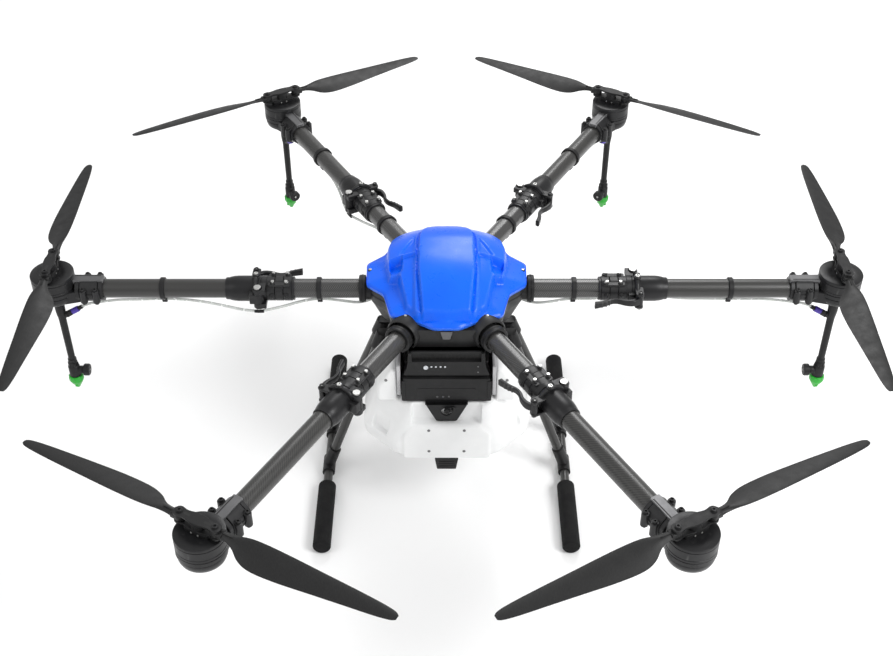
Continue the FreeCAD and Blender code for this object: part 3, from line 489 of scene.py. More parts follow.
def build_materials():
    m = MATERIALS
    n = Nodes("canopy_paint")
    tone = n.ramp(n.noise(9.0, 3.0), [(0.3, (0.0, 0.108, 0.80)), (0.7, (0.001, 0.126, 0.88))])
    # painted highlight: a brighter blue mixed in, in patches, along convex edges
    painted_edge_highlight = n.math("MULTIPLY", n.edges(0.51, 0.58), n.noise(120.0, 5.0))
    tone = n.mix(n.math("MULTIPLY", painted_edge_highlight, 0.3), tone, (0.2, 0.42, 1.0))
    normal = n.bump(n.noise(220.0, 2.0), 0.05, 0.0006)
    m["blue"] = n.finish(tone, n.spread(n.noise(60.0, 4.0), 0.26, 0.36), normal, Coat_Weight=0.1,
                         Coat_Roughness=0.2, Specular_IOR_Level=0.26)
    m["plastic"] = surface("black_plastic", (0.009, 0.009, 0.0095), 0.46, grain=1800, depth=0.35,
                           wear=(0.035, 0.035, 0.036), Specular_IOR_Level=0.28)
    m["fairing"] = surface("dark_fairing", (0.014, 0.014, 0.0145), 0.42, grain=1500, depth=0.3,
                           wear=(0.05, 0.05, 0.05), Specular_IOR_Level=0.3)
    m["black_metal"] = surface("black_anodised", (0.012, 0.012, 0.013), 0.36, metal=0.2, grain=2600,
                               depth=0.2, wear=(0.08, 0.08, 0.08), Specular_IOR_Level=0.34)
    m["grey_metal"] = surface("grey_anodised", (0.12, 0.12, 0.124), 0.36, metal=0.6, grain=2400, depth=0.2,
                              wear=(0.3, 0.3, 0.3))
    m["rail"] = surface("rail_aluminium", (0.46, 0.46, 0.47), 0.42, metal=0.35, grain=2000, depth=0.2,
                        wear=(0.6, 0.6, 0.6))
    m["steel"] = surface("bright_steel", (0.42, 0.42, 0.41), 0.32, metal=1.0, grain=900, depth=0.12)
    m["twill"] = twill("carbon_twill", (0.034, 0.033, 0.030), (0.008, 0.008, 0.008), 0.38, tow=1.5708)
    m["arm_satin"] = twill("satin_carbon", (0.048, 0.047, 0.046), (0.032, 0.032, 0.031), 0.30, tow=1.105)
    m["board"] = surface("green_board", (0.02, 0.13, 0.05), 0.4, mottle=0.25)
    m["wrap"] = surface("cell_wrap", (0.02, 0.1, 0.3), 0.35, mottle=0.2)
    m["green"] = surface("green_cap", (0.012, 0.36, 0.02), 0.34, grain=900, depth=0.2)
    m["violet"] = surface("violet_collar", (0.06, 0.03, 0.35), 0.35, grain=900)
    # deep black, used as painted shade inside slots, vents and recesses
    m["dark"] = surface("deep_black", (0.006, 0.006, 0.006), 0.6, mottle=0.3)
    m["led"] = surface("lens_white", (0.55, 0.57, 0.6), 0.25, grain=500, depth=0.05)
    m["lens"] = surface("smoked_lens", (0.3, 0.3, 0.32), 0.12, grain=300, depth=0.03, Coat_Weight=0.8)

    n = Nodes("prop_nylon")
    fibre = n.noise(900.0, 4.0, stretch=(1.0, 0.12, 1.0))
    tone = n.ramp(fibre, [(0.3, (0.0075, 0.0075, 0.008)), (0.7, (0.014, 0.014, 0.014))])
    tone = n.mix(n.math("MULTIPLY", n.edges(0.53, 0.66), 0.3), tone, (0.04, 0.04, 0.04))
    m["prop"] = n.finish(tone, n.spread(n.noise(50.0), 0.40, 0.54), n.bump(fibre, 0.12, 0.0002),
                         Specular_IOR_Level=0.28)

    n = Nodes("skid_foam")
    cells = n.add("TexVoronoi", Vector=n.place(), Scale=900.0).outputs["Distance"]
    tone = n.ramp(n.noise(40.0, 6.0), [(0.3, (0.006, 0.006, 0.0065)), (0.7, (0.012, 0.012, 0.012))])
    m["foam"] = n.finish(tone, n.spread(cells, 0.7, 0.9, 0.0, 0.6), n.bump(cells, 0.5, 0.0006),
                         Specular_IOR_Level=0.2)

    n = Nodes("tank_polyethylene")
    cloud = n.noise(14.0, 5.0)
    tone = n.ramp(cloud, [(0.3, (0.78, 0.785, 0.785)), (0.7, (0.84, 0.845, 0.845))])
    skin = n.bump(n.noise(650.0, 3.0), 0.18, 0.0003)
    waves = n.bump(n.noise(25.0, 2.0), 0.12, 0.002, skin)
    m["tank"] = n.finish(tone, n.spread(n.noise(80.0), 0.36, 0.5), waves, Specular_IOR_Level=0.3)

    n = Nodes("clear_hose")
    haze = n.noise(90.0, 4.0)
    tone = n.ramp(haze, [(0.3, (0.62, 0.64, 0.62)), (0.7, (0.8, 0.82, 0.8))])
    m["hose"] = n.finish(tone, n.spread(haze, 0.16, 0.3), n.bump(n.noise(400.0), 0.1, 0.0002),
                         Transmission_Weight=0.45, IOR=1.42)

    n = Nodes("studio_floor")
    tone = n.ramp(n.noise(1.5, 3.0), [(0.3, (0.94, 0.94, 0.94)), (0.7, (0.96, 0.96, 0.96))])
    m["floor"] = n.finish(tone, n.spread(n.noise(3.0), 0.75, 0.85))


build_materials()


# ---------------------------------------------------------------- stage, light and camera
FLOOR_HALF = 12000        # half the floor's width
CAMERA_AT = (0.0, -2.180, 2.169)        # metres
CAMERA_TILT = 50.56
LENS = 52.84
AIM = (0, 0, 0.4)        # where the lights point, in metres
LIGHTS = [("key", (2.6, -1.9, 3.3), 1.8, 110), ("fill", (-2.8, -1.6, 2.8), 2.4, 22),
          ("rim", (0.6, 3.0, 3.4), 2.0, 70)]        # name, place and size in metres, watts


def build_stage():
    floor = bmesh.new()
    bmesh.ops.create_grid(floor, x_segments=12, y_segments=12, size=FLOOR_HALF)
    plane = make("floor", floor, "floor", ROOT, "white_tank", bevel=0, ride=False)
    del plane["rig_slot"]
    world = bpy.data.worlds.new("studio")
    bpy.context.scene.world = world
    world.use_nodes = True
    background = world.node_tree.nodes["Background"]
    background.inputs["Color"].default_value = (1.0, 1.0, 1.0, 1)
    background.inputs["Strength"].default_value = 0.7

    for name, at, size, watts in LIGHTS:
        lamp = bpy.data.lights.new(name, "AREA")
        lamp.shape = "DISK"
        lamp.size = size
        lamp.energy = watts
        holder = bpy.data.objects.new(name, lamp)
        holder.location = at
        holder.rotation_euler = (Vector(AIM) - Vector(at)).to_track_quat("-Z", "Y").to_euler()
        link(holder)
    bpy.context.scene.view_settings.view_transform = "Standard"

    lens = bpy.data.cameras.new("camera")
    lens.lens = LENS
    lens.sensor_width = 36.0
    camera = bpy.data.objects.new("camera", lens)
    camera.location = CAMERA_AT
    camera.rotation_euler = (radians(CAMERA_TILT), 0.0, 0.0)
    link(camera)
    bpy.context.scene.camera = camera


# ---------------------------------------------------------------- arms
TUBE_WALL = 2.0
INNER_FLATS, INNER_WALL = 40.0, 2.0        # the octagonal tubes fixed to the body
INNER_STATIONS = (96.0, 150.0, 210.0, 267.0, 320.0, 376.0)
# the lever's middle line from its pivot
LEVER_ROUTE = [(0, 0), (-14, -8), (-30, -8), (-46, -3), (-60, -4), (-74, -11), (-92, -16), (-95.5, -16.6)]


def ease(t):
    """A smooth step from 0 to 1."""
    t = min(1.0, max(0.0, t))
    return t * t * (3 - 2 * t)


def arm_tube(name, turn):
    bm = bmesh.new()
    around = TAU * TUBE_RADIUS
    start, end = TUBE_LOW.x, TUBE_HIGH.x
    stations = 24
    line = [start + (end - start) * i / stations for i in range(stations + 1)]
    outside = [(TUBE_RADIUS, r) for r in line]
    inside = [(TUBE_RADIUS - TUBE_WALL, r) for r in reversed(line)]
    lathe(bm, outside + inside, along_arm(), steps=64, loop=True, weave=around)
    make("arm_tube_" + name, bm, "twill", "arm_" + name, "carbon_twill", ["arm_tube_" + name], turn, 0)


def inner_tubes():
    bm = bmesh.new()
    for angle in ARMS.values():
        spin = spun(angle)
        rings = []
        ends = (INNER_STATIONS[-1], INNER_STATIONS[0])
        for places, flats in ((INNER_STATIONS, INNER_FLATS), (ends, INNER_FLATS - 2 * INNER_WALL)):
            rings += [[spin @ Vector((r, y, ARM_Z + z)) for y, z in octagon(flats)] for r in places]
        shell(bm, rings, loop=True, weave=132.6)
    make("inner_arm_tubes_finished", bm, "arm_satin", ROOT, "carbon_twill", ["inner_arm_tubes"], bevel=0,
         smooth=20)


def fixed_knuckle(bm):
    """The clamp on the inner tube, with its bolts, flange and two hinge ears."""
    face = FOLD.x - 0.15
    place = along_arm()
    for r0, r1, flats in ((318, 323, 48.5), (323, 340, 51.0), (341, 358, 51.0), (359, 376, 51.0)):
        section = octagon(flats)
        prism(bm, [(-z, y) for y, z in section], r0, r1, place, edge=0.8)
    lathe(bm, raised(face, (26.5, -16), (26.5, -6), (25.2, -5.4), (25.2, -4.2), (26.5, -3.6), (26.5, 0)),
          place, steps=64)
    for side in (-15, 15):
        box(bm, (326, side - 5.5, ARM_Z + 19), (372, side + 5.5, ARM_Z + 24), edge=1.0, corner=2.5)
        for r in (332, 362):
            lathe(bm, [(5.2, 0), (5.2, 2.6), (4.4, 3.4)], frame_at((r, side, ARM_Z + 23.4), UP), steps=24)
            socket_screw(bm, (r, side, ARM_Z + 26.0), UP, 3.0, 2.4, 1)
    for side in (-1, 1):
        for r in (335, 364):
            lathe(bm, [(6, 0), (6, 3.0), (5, 3.8)], frame_at((r, side * 24, ARM_Z), (0, side, 0)), steps=24)
            socket_screw(bm, (r, side * 27.4, ARM_Z), (0, side, 0), 3.0, 1.8, 0)
    for low, high in ((11.8, 24.0), (-24.0, -11.8)):
        lathe(bm, [(9.6, low), (10.5, low + 0.8), (10.5, high - 0.8), (9.6, high)],
              up_at(FOLD.x, FOLD.y, ARM_Z))
        box(bm, (face - 16, 12, ARM_Z + low), (FOLD.x, FOLD.y + 9, ARM_Z + high), edge=1.0, corner=2.0)
    box(bm, (face - 13, -34.5, ARM_Z - 9), (face, -18, ARM_Z + 9), edge=1.0)


def hose_clip(bm, r, flats, mat=0):
    """A clip ring, with a saddle and an eye below the tube for the hose."""
    place = along_arm()
    if flats:
        prism(bm, [(-z, y) for y, z in octagon(47.0)], r - 5, r + 5, place, mat, edge=1.0)
    else:
        lathe(bm, raised(r, (22.4, -5), (23.5, -4), (23.5, 4), (22.4, 5)), place, mat)
    box(bm, (r - 4.5, -5, ARM_Z - 30), (r + 4.5, 5, ARM_Z - 20.5), mat, edge=0.8, corner=1.2)
    lathe(bm, raised(r, (6.4, -5), (7, -4), (7, 4), (6.4, 5), (3.4, 5), (3.4, -5)),
          along_arm(z=ARM_Z - HOSE_DROP), mat, steps=28, loop=True)
    socket_screw(bm, (r, 5, ARM_Z - 24), (0, 1, 0), 2.2, 1.6, 1)


def clamps():
    """The collars at the body, the hose clips and the fixed halves of the knuckles."""
    for name, angle in ARMS.items():
        start = 184.0 if name in ("fl", "fr") else 169.0
        bm = bmesh.new()
        ring = raised(start, (27.4, 0), (28.5, 1), (28.5, 5), (27.6, 5.6), (27.6, 7.4), (28.5, 8),
                      (28.5, 12.6), (27.0, 14), (22.4, 14), (22.4, 0))
        lathe(bm, ring, along_arm(), loop=True, steps=64)
        lathe(bm, [(23.8, 100), (23.8, start + 1), (21.6, start + 1), (21.6, 100)], along_arm(), loop=True)
        for k in range(4):
            a = radians(45 + 90 * k)
            y, z = cos(a), sin(a)
            socket_screw(bm, (start + 7, 28.0 * y, ARM_Z + 28.0 * z), (0, y, z), 2.4, 1.2, 0)
        make("body_collar_" + name, bm, "plastic steel", ROOT, "black_plastic",
             ["arm_clamps"], angle, 0.3)
        make("fixed_knuckle_" + name, built(fixed_knuckle), "black_metal steel", ROOT, "black_aluminium",
             (), angle)
        if name in SPRAY_ARMS:
            make("inner_clip_" + name, built(hose_clip, INNER_CLIP, True), "plastic steel", ROOT,
                 "black_plastic", (), angle, 0.3)


def cup(bm):
    """The moving half of the knuckle: a smooth cup, a bail over its top and the lever's fork."""
    face = FOLD.x + 0.15
    place = along_arm()
    lathe(bm, [(20.1, face + 12.5), (26.5, face + 8), (26.9, 408), (26.9, 436), (26.2, 444), (24.6, 452),
               (23.4, 455), (23.4, 460), (22.6, 462), (20.1, 462)], place, steps=72, loop=True)
    flange = raised(face, (28.2, 0), (29, 0.8), (29, 8.2), (28.2, 9), (15, 9), (15, 0))
    lathe(bm, flange, place, steps=72, loop=True)
    bail = []
    for k in range(25):
        a = radians(-42 + 214 * k / 24)
        reach = 31.0 + 3.5 * ease((abs(a - pi / 2) - 0.9) / 0.6)
        bail.append(Vector((face + 5.5, -reach * cos(a), ARM_Z + reach * sin(a) * 0.98)))
    sweep(bm, bail, 3.4, steps=14, flat=1.15)
    lathe(bm, [(7.4, 0), (8.0, 0.8), (8.0, 3.4), (7.0, 4.4)], frame_at((face + 5.5, -4, ARM_Z + 30.6), UP),
          0)
    socket_screw(bm, (face + 5.5, -4, ARM_Z + 34.6), UP, 5.0, 3.0, 1)
    for low, high in ((12.3, 18.0), (-18.0, -12.3)):
        outline = rounded([(face, -10), (face, LEVER.y - 5), (LEVER.x + 7, LEVER.y - 7), (LEVER.x + 8, -24),
                           (LEVER.x + 4, -10)], 5)
        prism(bm, outline, ARM_Z + low, ARM_Z + high, edge=0.8)
    lathe(bm, [(9.7, -11.5), (10.5, -10.7), (10.5, 10.7), (9.7, 11.5)], up_at(FOLD.x, FOLD.y, ARM_Z))
    box(bm, (FOLD.x + 2, 16, ARM_Z - 11.5), (FOLD.x + 18, FOLD.y + 9.5, ARM_Z + 11.5), edge=1.0, corner=2.5)
    socket_screw(bm, (LEVER.x, LEVER.y, ARM_Z + 18.1), UP, 5.0, 3.8, 0)
    hex_nut(bm, (LEVER.x, LEVER.y, ARM_Z - 18.1), (0, 0, -1), 9.5, 3.8, 1)
    lathe(bm, [(3, -20), (3, 20)], up_at(LEVER.x, LEVER.y, ARM_Z), 1, steps=24)


def lever(name, turn):
    """The quick-release lever, a tapering S with a thicker pad at its tip."""
    px, py = LEVER.x, LEVER.y
    line = spline([(px + x, py + y, 0) for x, y in LEVER_ROUTE])
    bm = bmesh.new()
    rings = []
    last = len(line) - 1
    for i, p in enumerate(line):
        t = i / last
        ahead = (line[min(i + 1, last)] - line[max(i - 1, 0)]).normalized()
        side = Vector((-ahead.y, ahead.x, 0))
        half = 5.2 - 2.2 * ease(t / 0.55) + 1.4 * ease((t - 0.6) / 0.3) - 2.6 * ease((t - 0.97) / 0.03)
        tall = 7.6 - 1.4 * ease((t - 0.1) / 0.3) + 1.2 * ease((t - 0.6) / 0.3) - 3.0 * ease((t - 0.97) / 0.03)
        section = rounded([(-half, -tall), (half, -tall), (half, tall), (-half, tall)],
                          min(half, tall) * 0.7, 4)
        rings.append([Vector((p.x, p.y, ARM_Z)) + side * a + Vector((0, 0, b)) for a, b in section])
    shell(bm, rings)
    lathe(bm, [(5.9, -11.9), (6.5, -11.3), (6.5, 11.3), (5.9, 11.9)], up_at(px, py, ARM_Z))
    for k in range(4):
        spot = line[-8 - 3 * k]
        sweep(bm, [Vector((spot.x, spot.y - 2.2, ARM_Z - 6)), Vector((spot.x, spot.y - 2.2, ARM_Z + 6))],
              2.3, steps=10)
    make("lever_%s_finished" % name, bm, "black_metal", "lever_" + name, "black_aluminium",
         ["lever_" + name], turn, 0.3)


def motor_mount(bm):
    """The clamp at the tube's end and the base under the motor."""
    place = along_arm()
    for r0, r1 in ((718, 727), (728, 765), (766, 775.5)):
        prism(bm, [(-z, y) for y, z in octagon(53.0 if r0 == 728 else 51.0)], r0, r1, place, edge=1.0)
    deck = rounded([(716, -9.5), (778, -10.5), (786, -17), (786, 17), (778, 10.5), (716, 9.5)], 2)
    prism(bm, deck, ARM_Z + 20, ARM_Z + 28.6, mat=2, edge=1.2)
    box(bm, (722, -7.6, ARM_Z + 27), (776, -5.2, ARM_Z + 28.9), 3, edge=0.2, corner=0.5)
    for side in (-1, 1):
        for r in (731, 757):
            lathe(bm, [(6.4, -16), (7.4, -15), (7.4, 14), (6.4, 15)], up_at(r, side * 28, ARM_Z), steps=32)
            socket_screw(bm, (r, side * 28, ARM_Z + 15), UP, 4.6, 4.2, 1)
            hex_nut(bm, (r, side * 28, ARM_Z - 16), (0, 0, -1), 9.0, 3.4, 1)
        box(bm, (724, min(side * 20, side * 28), ARM_Z - 3), (764, max(side * 20, side * 28), ARM_Z + 3),
            edge=0.8)
    neck = rounded([(764, -22), (800, -32), (806, -30), (806, 30), (800, 32), (764, 22)], 4)
    prism(bm, neck, BASE_BOTTOM + 3, BASE_BOTTOM + 30.5, edge=1.2)
    base = raised(BASE_BOTTOM, (20, 0.6), (32, 0), (36, 1), (40.5, 5), (43, 12), (43.6, 18), (43.6, 20),
                  (42.4, 20.6), (42.4, 22), (45, 22.6), (45, 30.8), (44, 31.4), (14, 31.4))
    lathe(bm, base, MOTOR, steps=96)
    # painted shade: deep black blocks sit on the base's six slots, and the base is not cut
    for k in range(6):
        a = TAU * (k + 0.5) / 6
        out = (cos(a), sin(a), 0)
        slot_at = Vector((MOTOR_R + 43.4 * out[0], 43.4 * out[1], BASE_BOTTOM + 27))
        slot = rounded(wedge(5.5, -1.4, 5.5, 1.4), 1.4)
        prism(bm, slot, -1.6, 1.7, frame_at(slot_at, out, (-out[1], out[0], 0)), 3)
    ribs(bm, 8, MOTOR, (18, 1.2), (33, 1.2), BASE_BOTTOM - 1.0, BASE_BOTTOM + 2, edge=0.4, shift=0.5)


def stator(bm):
    low = BASE_BOTTOM + 32.4
    for place in around(12, MOTOR):
        prism(bm, [(14.2, -2), (30, -2), (30, 2), (14.2, 2)], low, low + 18, place, edge=0.3)
        prism(bm, rounded([(18, -4), (28, -5.2), (28, 5.2), (18, 4)], 2), low + 2, low + 16, place, 1,
              edge=1.0)
        prism(bm, rounded([(30, -8), (38, -8.4), (38, 8.4), (30, 8)], 1.5), low, low + 18, place, edge=0.3)


def fittings(name, turn):
    """Everything fixed to a folding arm apart from its tube."""
    body = "arm_" + name
    make("knuckle_cup_" + name, built(cup), "black_metal steel", body, "black_aluminium",
         ["arm_fittings_" + name], turn, 0.4)
    make("motor_mount_" + name, built(motor_mount), "black_metal plastic grey_metal dark", body,
         "black_aluminium", (), turn, 0.4)
    make("stator_" + name, built(stator), "steel wrap", body, "steel", (), turn, 0)
    bm = bmesh.new()
    low = BASE_BOTTOM + 9
    lathe(bm, [(14.2, low), (34, low), (34, low + 1.6), (14.2, low + 1.6)], MOTOR, loop=True)
    ribs(bm, 9, MOTOR, (20, 3), (27, 3), low + 1.6, low + 3.8, 1)
    make("speed_controller_" + name, bm, "board plastic", body, "board_green", (), turn, 0)
    bm = bmesh.new()
    lens = raised(BASE_BOTTOM - 0.1, (2, -5), (4.6, -4.4), (6.4, -3), (7, -0.6), (7, 0))
    lathe(bm, lens, up_at(MOTOR_R - 24), steps=32)
    make("signal_lens_" + name, bm, "lens", body, "grey_aluminium", (), turn, 0)
    if name in SPRAY_ARMS:
        make("outer_clip_" + name, built(hose_clip, OUTER_CLIP, False), "plastic steel", body,
             "black_plastic", (), turn, 0.3)


# ---------------------------------------------------------------- rotors and blades
def rotor(name, turn):
    """The motor bell, its adapter and the two hub plates with their bolts."""
    bm = bmesh.new()
    place = MOTOR
    low = BELL_TOP - 31.9
    bell = raised(low, (41, 0), (44.4, 0), (45, 0.6), (45, 5), (44.2, 5.6), (44.2, 6.8), (45, 7.4))
    bell += raised(BELL_TOP, (45, -8.4), (44, -8), (44, -6.8), (45, -6.4), (45, -1.6), (44.4, -0.5),
                   (43.2, 0), (22, 0), (20, -0.8), (6.5, -0.8), (6.5, -5), (41, -5))
    lathe(bm, bell, place, steps=96, loop=True)
    for k in range(4):
        a = TAU * (k + 0.5) / 4
        socket_screw(bm, (MOTOR_R + 26 * cos(a), 26 * sin(a), BELL_TOP - 0.6), (0, 0, 1), 2.6, 0.9, 1)
    lathe(bm, [(6, BASE_BOTTOM + 9), (6, BELL_TOP - 4)], place, 2, steps=32)
    plate_low, plate_high = BLADE_Z - 11.1, BLADE_Z + 6.9
    core = rounded([(-10, -25), (10, -25), (12, -10), (12, 10), (10, 25), (-10, 25), (-12, 10), (-12, -10)],
                   3)
    prism(bm, core, BELL_TOP - 0.9, plate_low + 1, place, 1, edge=0.6)
    lathe(bm, [(12.4, plate_low), (12.4, plate_high + 1)], place, 1, steps=40)
    for z in (plate_low, plate_high):
        hub_plate(bm, place, z, 1)
    for side in (-1, 1):
        for x in (-7, 7):
            socket_screw(bm, (MOTOR_R + side * 11.8, x, BELL_TOP + 3.4), (side, 0, 0), 2.0, 1.2, 2)
        y = side * BLADE_Y
        lathe(bm, [(5.6, plate_high + 4.4), (6.2, plate_high + 5), (6.2, plate_high + 5.6)],
              up_at(MOTOR_R, y), 1, steps=32)
        socket_screw(bm, (MOTOR_R, y, plate_high + 5.2), UP, 4.9, 3.2, 0)
        lathe(bm, [(2.95, plate_low - 2), (2.95, plate_high + 6)], up_at(MOTOR_R, y), 2, steps=24)
        hex_nut(bm, (MOTOR_R, y, plate_low), (0, 0, -1), 9.0, 2.9, 0)
    make("rotor_%s_finished" % name, bm, "black_metal plastic steel dark", "rotor_" + name,
         "black_aluminium", ["rotor_" + name], turn, 0.3)


def hub_plate(bm, place, z, mat):
    """A plate with round ends and a waist, and a deep black block in each of its two slots as painted shade.
    """
    half = [(0, 48), (6, 47), (10, 43.5), (11, 37), (9.2, 31), (8.6, 26), (9.6, 19), (11.6, 12), (12, 5)]
    right = half + [(x, -y) for x, y in reversed(half)]
    line = rounded(right + [(-x, y) for x, y in reversed(right)][1:-1], 2.2, 2)
    prism(bm, line, z, z + 4.5, place, mat, edge=0.7)
    for side in (-21.5, 21.5):
        slot = rounded([(-2.6, side - 7), (2.6, side - 7), (2.6, side + 7), (-2.6, side + 7)], 2.6, 4)
        # painted shade: a deep black block through the plate marks the slot, and the plate is not cut
        prism(bm, slot, z - 0.12, z + 4.62, place, 3)


# each row: share of the blade's span, leading edge, trailing edge, thickness, pitch in degrees
BLADE_STATIONS = [
    (0.040, 9.0, -9.0, 12.0, 0.0),
    (0.075, 8.5, -9.5, 10.5, 8.0),
    (0.120, 10.5, -15.0, 8.5, 17.0),
    (0.180, 15.0, -29.0, 7.0, 19.0),
    (0.260, 17.0, -36.0, 6.0, 17.0),
    (0.400, 17.0, -34.5, 5.2, 14.0),
    (0.580, 15.5, -27.5, 4.2, 11.0),
    (0.760, 14.0, -20.0, 3.4, 8.5),
    (0.900, 12.0, -14.0, 2.8, 7.0),
    (0.975, 9.0, -9.0, 2.4, 6.0),
    (1.000, 4.0, -4.5, 2.0, 6.0),
]


def foil(lead, trail, thick, points=14):
    """A cambered section from the leading edge over the top to the trailing edge and back."""
    chord = lead - trail
    upper, lower = [], []
    for k in range(points + 1):
        t = 0.5 - 0.5 * cos(pi * k / points)
        body = 2.6 * (0.2969 * sqrt(t) - 0.126 * t - 0.3516 * t * t + 0.2843 * t ** 3 - 0.09 * t ** 4)
        half = thick * max(body, 0.06)
        camber = thick * 0.22 * sin(pi * t)
        along = lead - chord * t
        upper.append((along, camber + half * 0.9))
        lower.append((along, camber - half * 0.9))
    return upper + list(reversed(lower))[1:-1]


def catmull(a, b, c, d, t):
    """A value between b and c on a smooth curve through a, b, c and d."""
    return b + 0.5 * t * (c - a + t * (2 * a - 5 * b + 4 * c - d + t * (3 * (b - c) + d - a)))


def blade_mesh(bm, flip):
    """A blade that points along +Y and moves towards -X, or the other way round with flip."""
    span = PROP_TIP - BLADE_Y - 0.8
    stations = []
    for a, b, c, d in zip([BLADE_STATIONS[0]] + BLADE_STATIONS[:-2], BLADE_STATIONS, BLADE_STATIONS[1:],
                          BLADE_STATIONS[2:] + [BLADE_STATIONS[-1]]):
        for k in range(5):
            t = k / 5
            stations.append([catmull(*column, t) for column in zip(a, b, c, d)])
    stations.append(list(BLADE_STATIONS[-1]))
    rings = []
    for share, lead, trail, thick, pitch in stations:
        a = radians(pitch)
        ring = []
        for along, up in foil(lead, trail, min(thick, 12.0)):
            x = -(along * cos(a) - up * sin(a))
            z = BLADE_Z + along * sin(a) + up * cos(a)
            ring.append(Vector((MOTOR_R + x * flip, BLADE_Y + span * share, z)))
        rings.append(ring)
    shell(bm, rings)
    root = up_at(MOTOR_R, BLADE_Y, BLADE_Z)
    lathe(bm, [(9.2, -6.3), (10, -5.5), (10, 5.8), (9.2, 6.6)], root)
    prism(bm, rounded(wedge(8.6, 0, 8.8, 16), 1.5), -5.6, 5.6, root, edge=1.2)
    prism(bm, wedge(1.4, 10, 0.8, 34), 4.6, 6.4, root, edge=0.5)


def blades(name, turn):
    flip = 1 if name in TURNS_LEFT else -1
    for side, half_turn in (("a", 0), ("b", 180)):
        bm = built(blade_mesh, flip)
        about = spun(half_turn, MOTOR) @ up_at(-MOTOR_R)
        bmesh.ops.transform(bm, matrix=about, verts=bm.verts)
        node = "blade_%s_%s" % (name, side)
        make(node + "_finished", bm, "prop", node, "prop_plastic", [node], turn, 0, smooth=50)


# ---------------------------------------------------------------- spray lances and hoses
HOSE_RADIUS = 2.9
FOLD_DROP = 37        # the hose's depth below the middle of an arm, under the fold pin


def lance_parts(name, turn):
    """The hanging lance: its body with a valve, the nozzle cap and the hose connector."""
    body = "arm_" + name
    top = BASE_BOTTOM - 0.1
    place = MOTOR
    bm = bmesh.new()
    stem = raised(top, (16, 0), (16, -3.2), (15.2, -4), (11.8, -8), (11.8, -11), (10.8, -12), (10.5, -36),
                  (9.6, -46), (8.4, -54), (8, -62))
    stem += raised(VALVE_Z, (7.5, 34), (9.4, 33), (9.4, 29), (7.9, 28), (8.2, 25), (10, 24), (10, 15),
                   (12, 13), (12.5, 11), (12.5, -13), (11.8, -14))
    lathe(bm, stem, place, steps=48)
    ribs(bm, 6, place, (9.0, 1.0), (11.4, 0.8), VALVE_Z + 14, VALVE_Z + 23)
    slope = Vector((-0.86, 0, 0.51)).normalized()
    port = Vector((MOTOR_R, 0, PORT_Z))
    lathe(bm, [(6, 0), (6, 13), (7.2, 13.6), (7.2, 16.4), (6.4, 17)], frame_at(port, slope), steps=32)
    knob = frame_at((MOTOR_R, 0, VALVE_Z), (-1, 0, 0))
    lathe(bm, [(9, 0), (9, 18), (8.2, 19), (8.2, 20.5), (12, 21), (13, 22), (13, 32.6), (11.6, 34), (5, 34),
               (4.4, 33)], knob, steps=40)
    ribs(bm, 10, knob, (12.2, 1.5), (13.4, 1.2), 22.5, 32, corner=0.5)
    socket_screw(bm, (MOTOR_R - 33.2, 0, VALVE_Z), (-1, 0, 0), 2.6, 1.2, 1)
    make("spray_lance_%s_body" % name, bm, "plastic steel", body, "black_plastic",
         ["spray_lance_" + name], turn, 0.25)

    bm = bmesh.new()
    low, tip = VALVE_Z - 14.1, BELL_TOP - 317.0
    cap = raised(low, (14.4, 0), (15.2, -0.8), (16, -11), (15.4, -13), (13, -18), (12, -20), (8.4, -26),
                 (7.4, -28))
    cap += raised(tip, (4.4, 1), (3.5, 0))
    lathe(bm, cap, place, steps=48)
    ribs(bm, 12, place, (14.2, 1.1), (16.2, 0.9), low - 11.5, low - 1.0, corner=0.4)
    for side in (-1, 1):
        box(bm, (MOTOR_R - 3, side * 9 - 3, low - 27), (MOTOR_R + 3, side * 9 + 3, low - 17), edge=1.0)
    make("nozzle_cap_" + name, bm, "green", body, "green_cap", (), turn, 0.25)

    bm = bmesh.new()
    run = frame_at(port, slope)
    lathe(bm, [(5.4, 17.2), (6.5, 18), (6.5, 27), (5.8, 28), (5.8, 29)], run, steps=36)
    ribs(bm, 8, run, (5.8, 0.9), (7.0, 0.8), 19, 26.5)
    lathe(bm, [(5.6, 29), (6.6, 29.6), (6.6, 44), (6.2, 45.4), (5.2, 46)], run, 1, steps=36)
    lathe(bm, [(4.5, 45.6), (4.8, 48), (4.2, 48.4), (4.8, 51), (4.2, 51.4), (4.6, 54), (4.2, 56)], run, 2,
          steps=28)
    make("hose_connector_" + name, bm, "plastic violet plastic", body, "black_plastic", (),
         turn, 0.2)


def hose_line(name, points, body, turn=0.0, stands_for=()):
    """A hose as a smooth spline through its route's control points, and then a tube along it."""
    curve = bpy.data.curves.new(name + "_route", "CURVE")
    curve.dimensions = "3D"
    route = curve.splines.new("NURBS")
    route.points.add(len(points) - 1)
    spin = spun(turn)
    for control, p in zip(route.points, points):
        control.co = (*(spin @ Vector(p)), 1.0)
    route.order_u = 3
    route.use_endpoint_u = True
    route.resolution_u = 8
    guide = bpy.data.objects.new(name + "_route", curve)
    link(guide)
    bpy.context.view_layer.update()
    path = bpy.data.meshes.new_from_object(guide)
    line = [v.co.copy() for v in path.vertices]
    bpy.data.objects.remove(guide)
    bpy.data.meshes.remove(path)
    bm = bmesh.new()
    sweep(bm, line, HOSE_RADIUS, steps=14)
    return make(name, bm, "hose", body, "hose_clear", stands_for, 0, 0)


def arm_hose_points():
    """From the connector back along the arm, through the outer clip, to the fold pin."""
    low = ARM_Z - HOSE_DROP

    def on_slope(distance):
        return (MOTOR_R - 0.86 * distance, 0, PORT_Z + 0.51 * distance)

    begin = on_slope(56.1)
    return [begin, on_slope(72), (begin[0] - 44, 0, low - 8), (begin[0] - 80, 0, low - 2),
            (655, 1, low - 1),
            (609, 0, low), (581, 0, low), (545, 2, low - 1), (508, 6, low - 4), (464, 16, low - 7),
            (428, 27, low - 9), (FOLD.x + 5, FOLD.y, low - 9)]


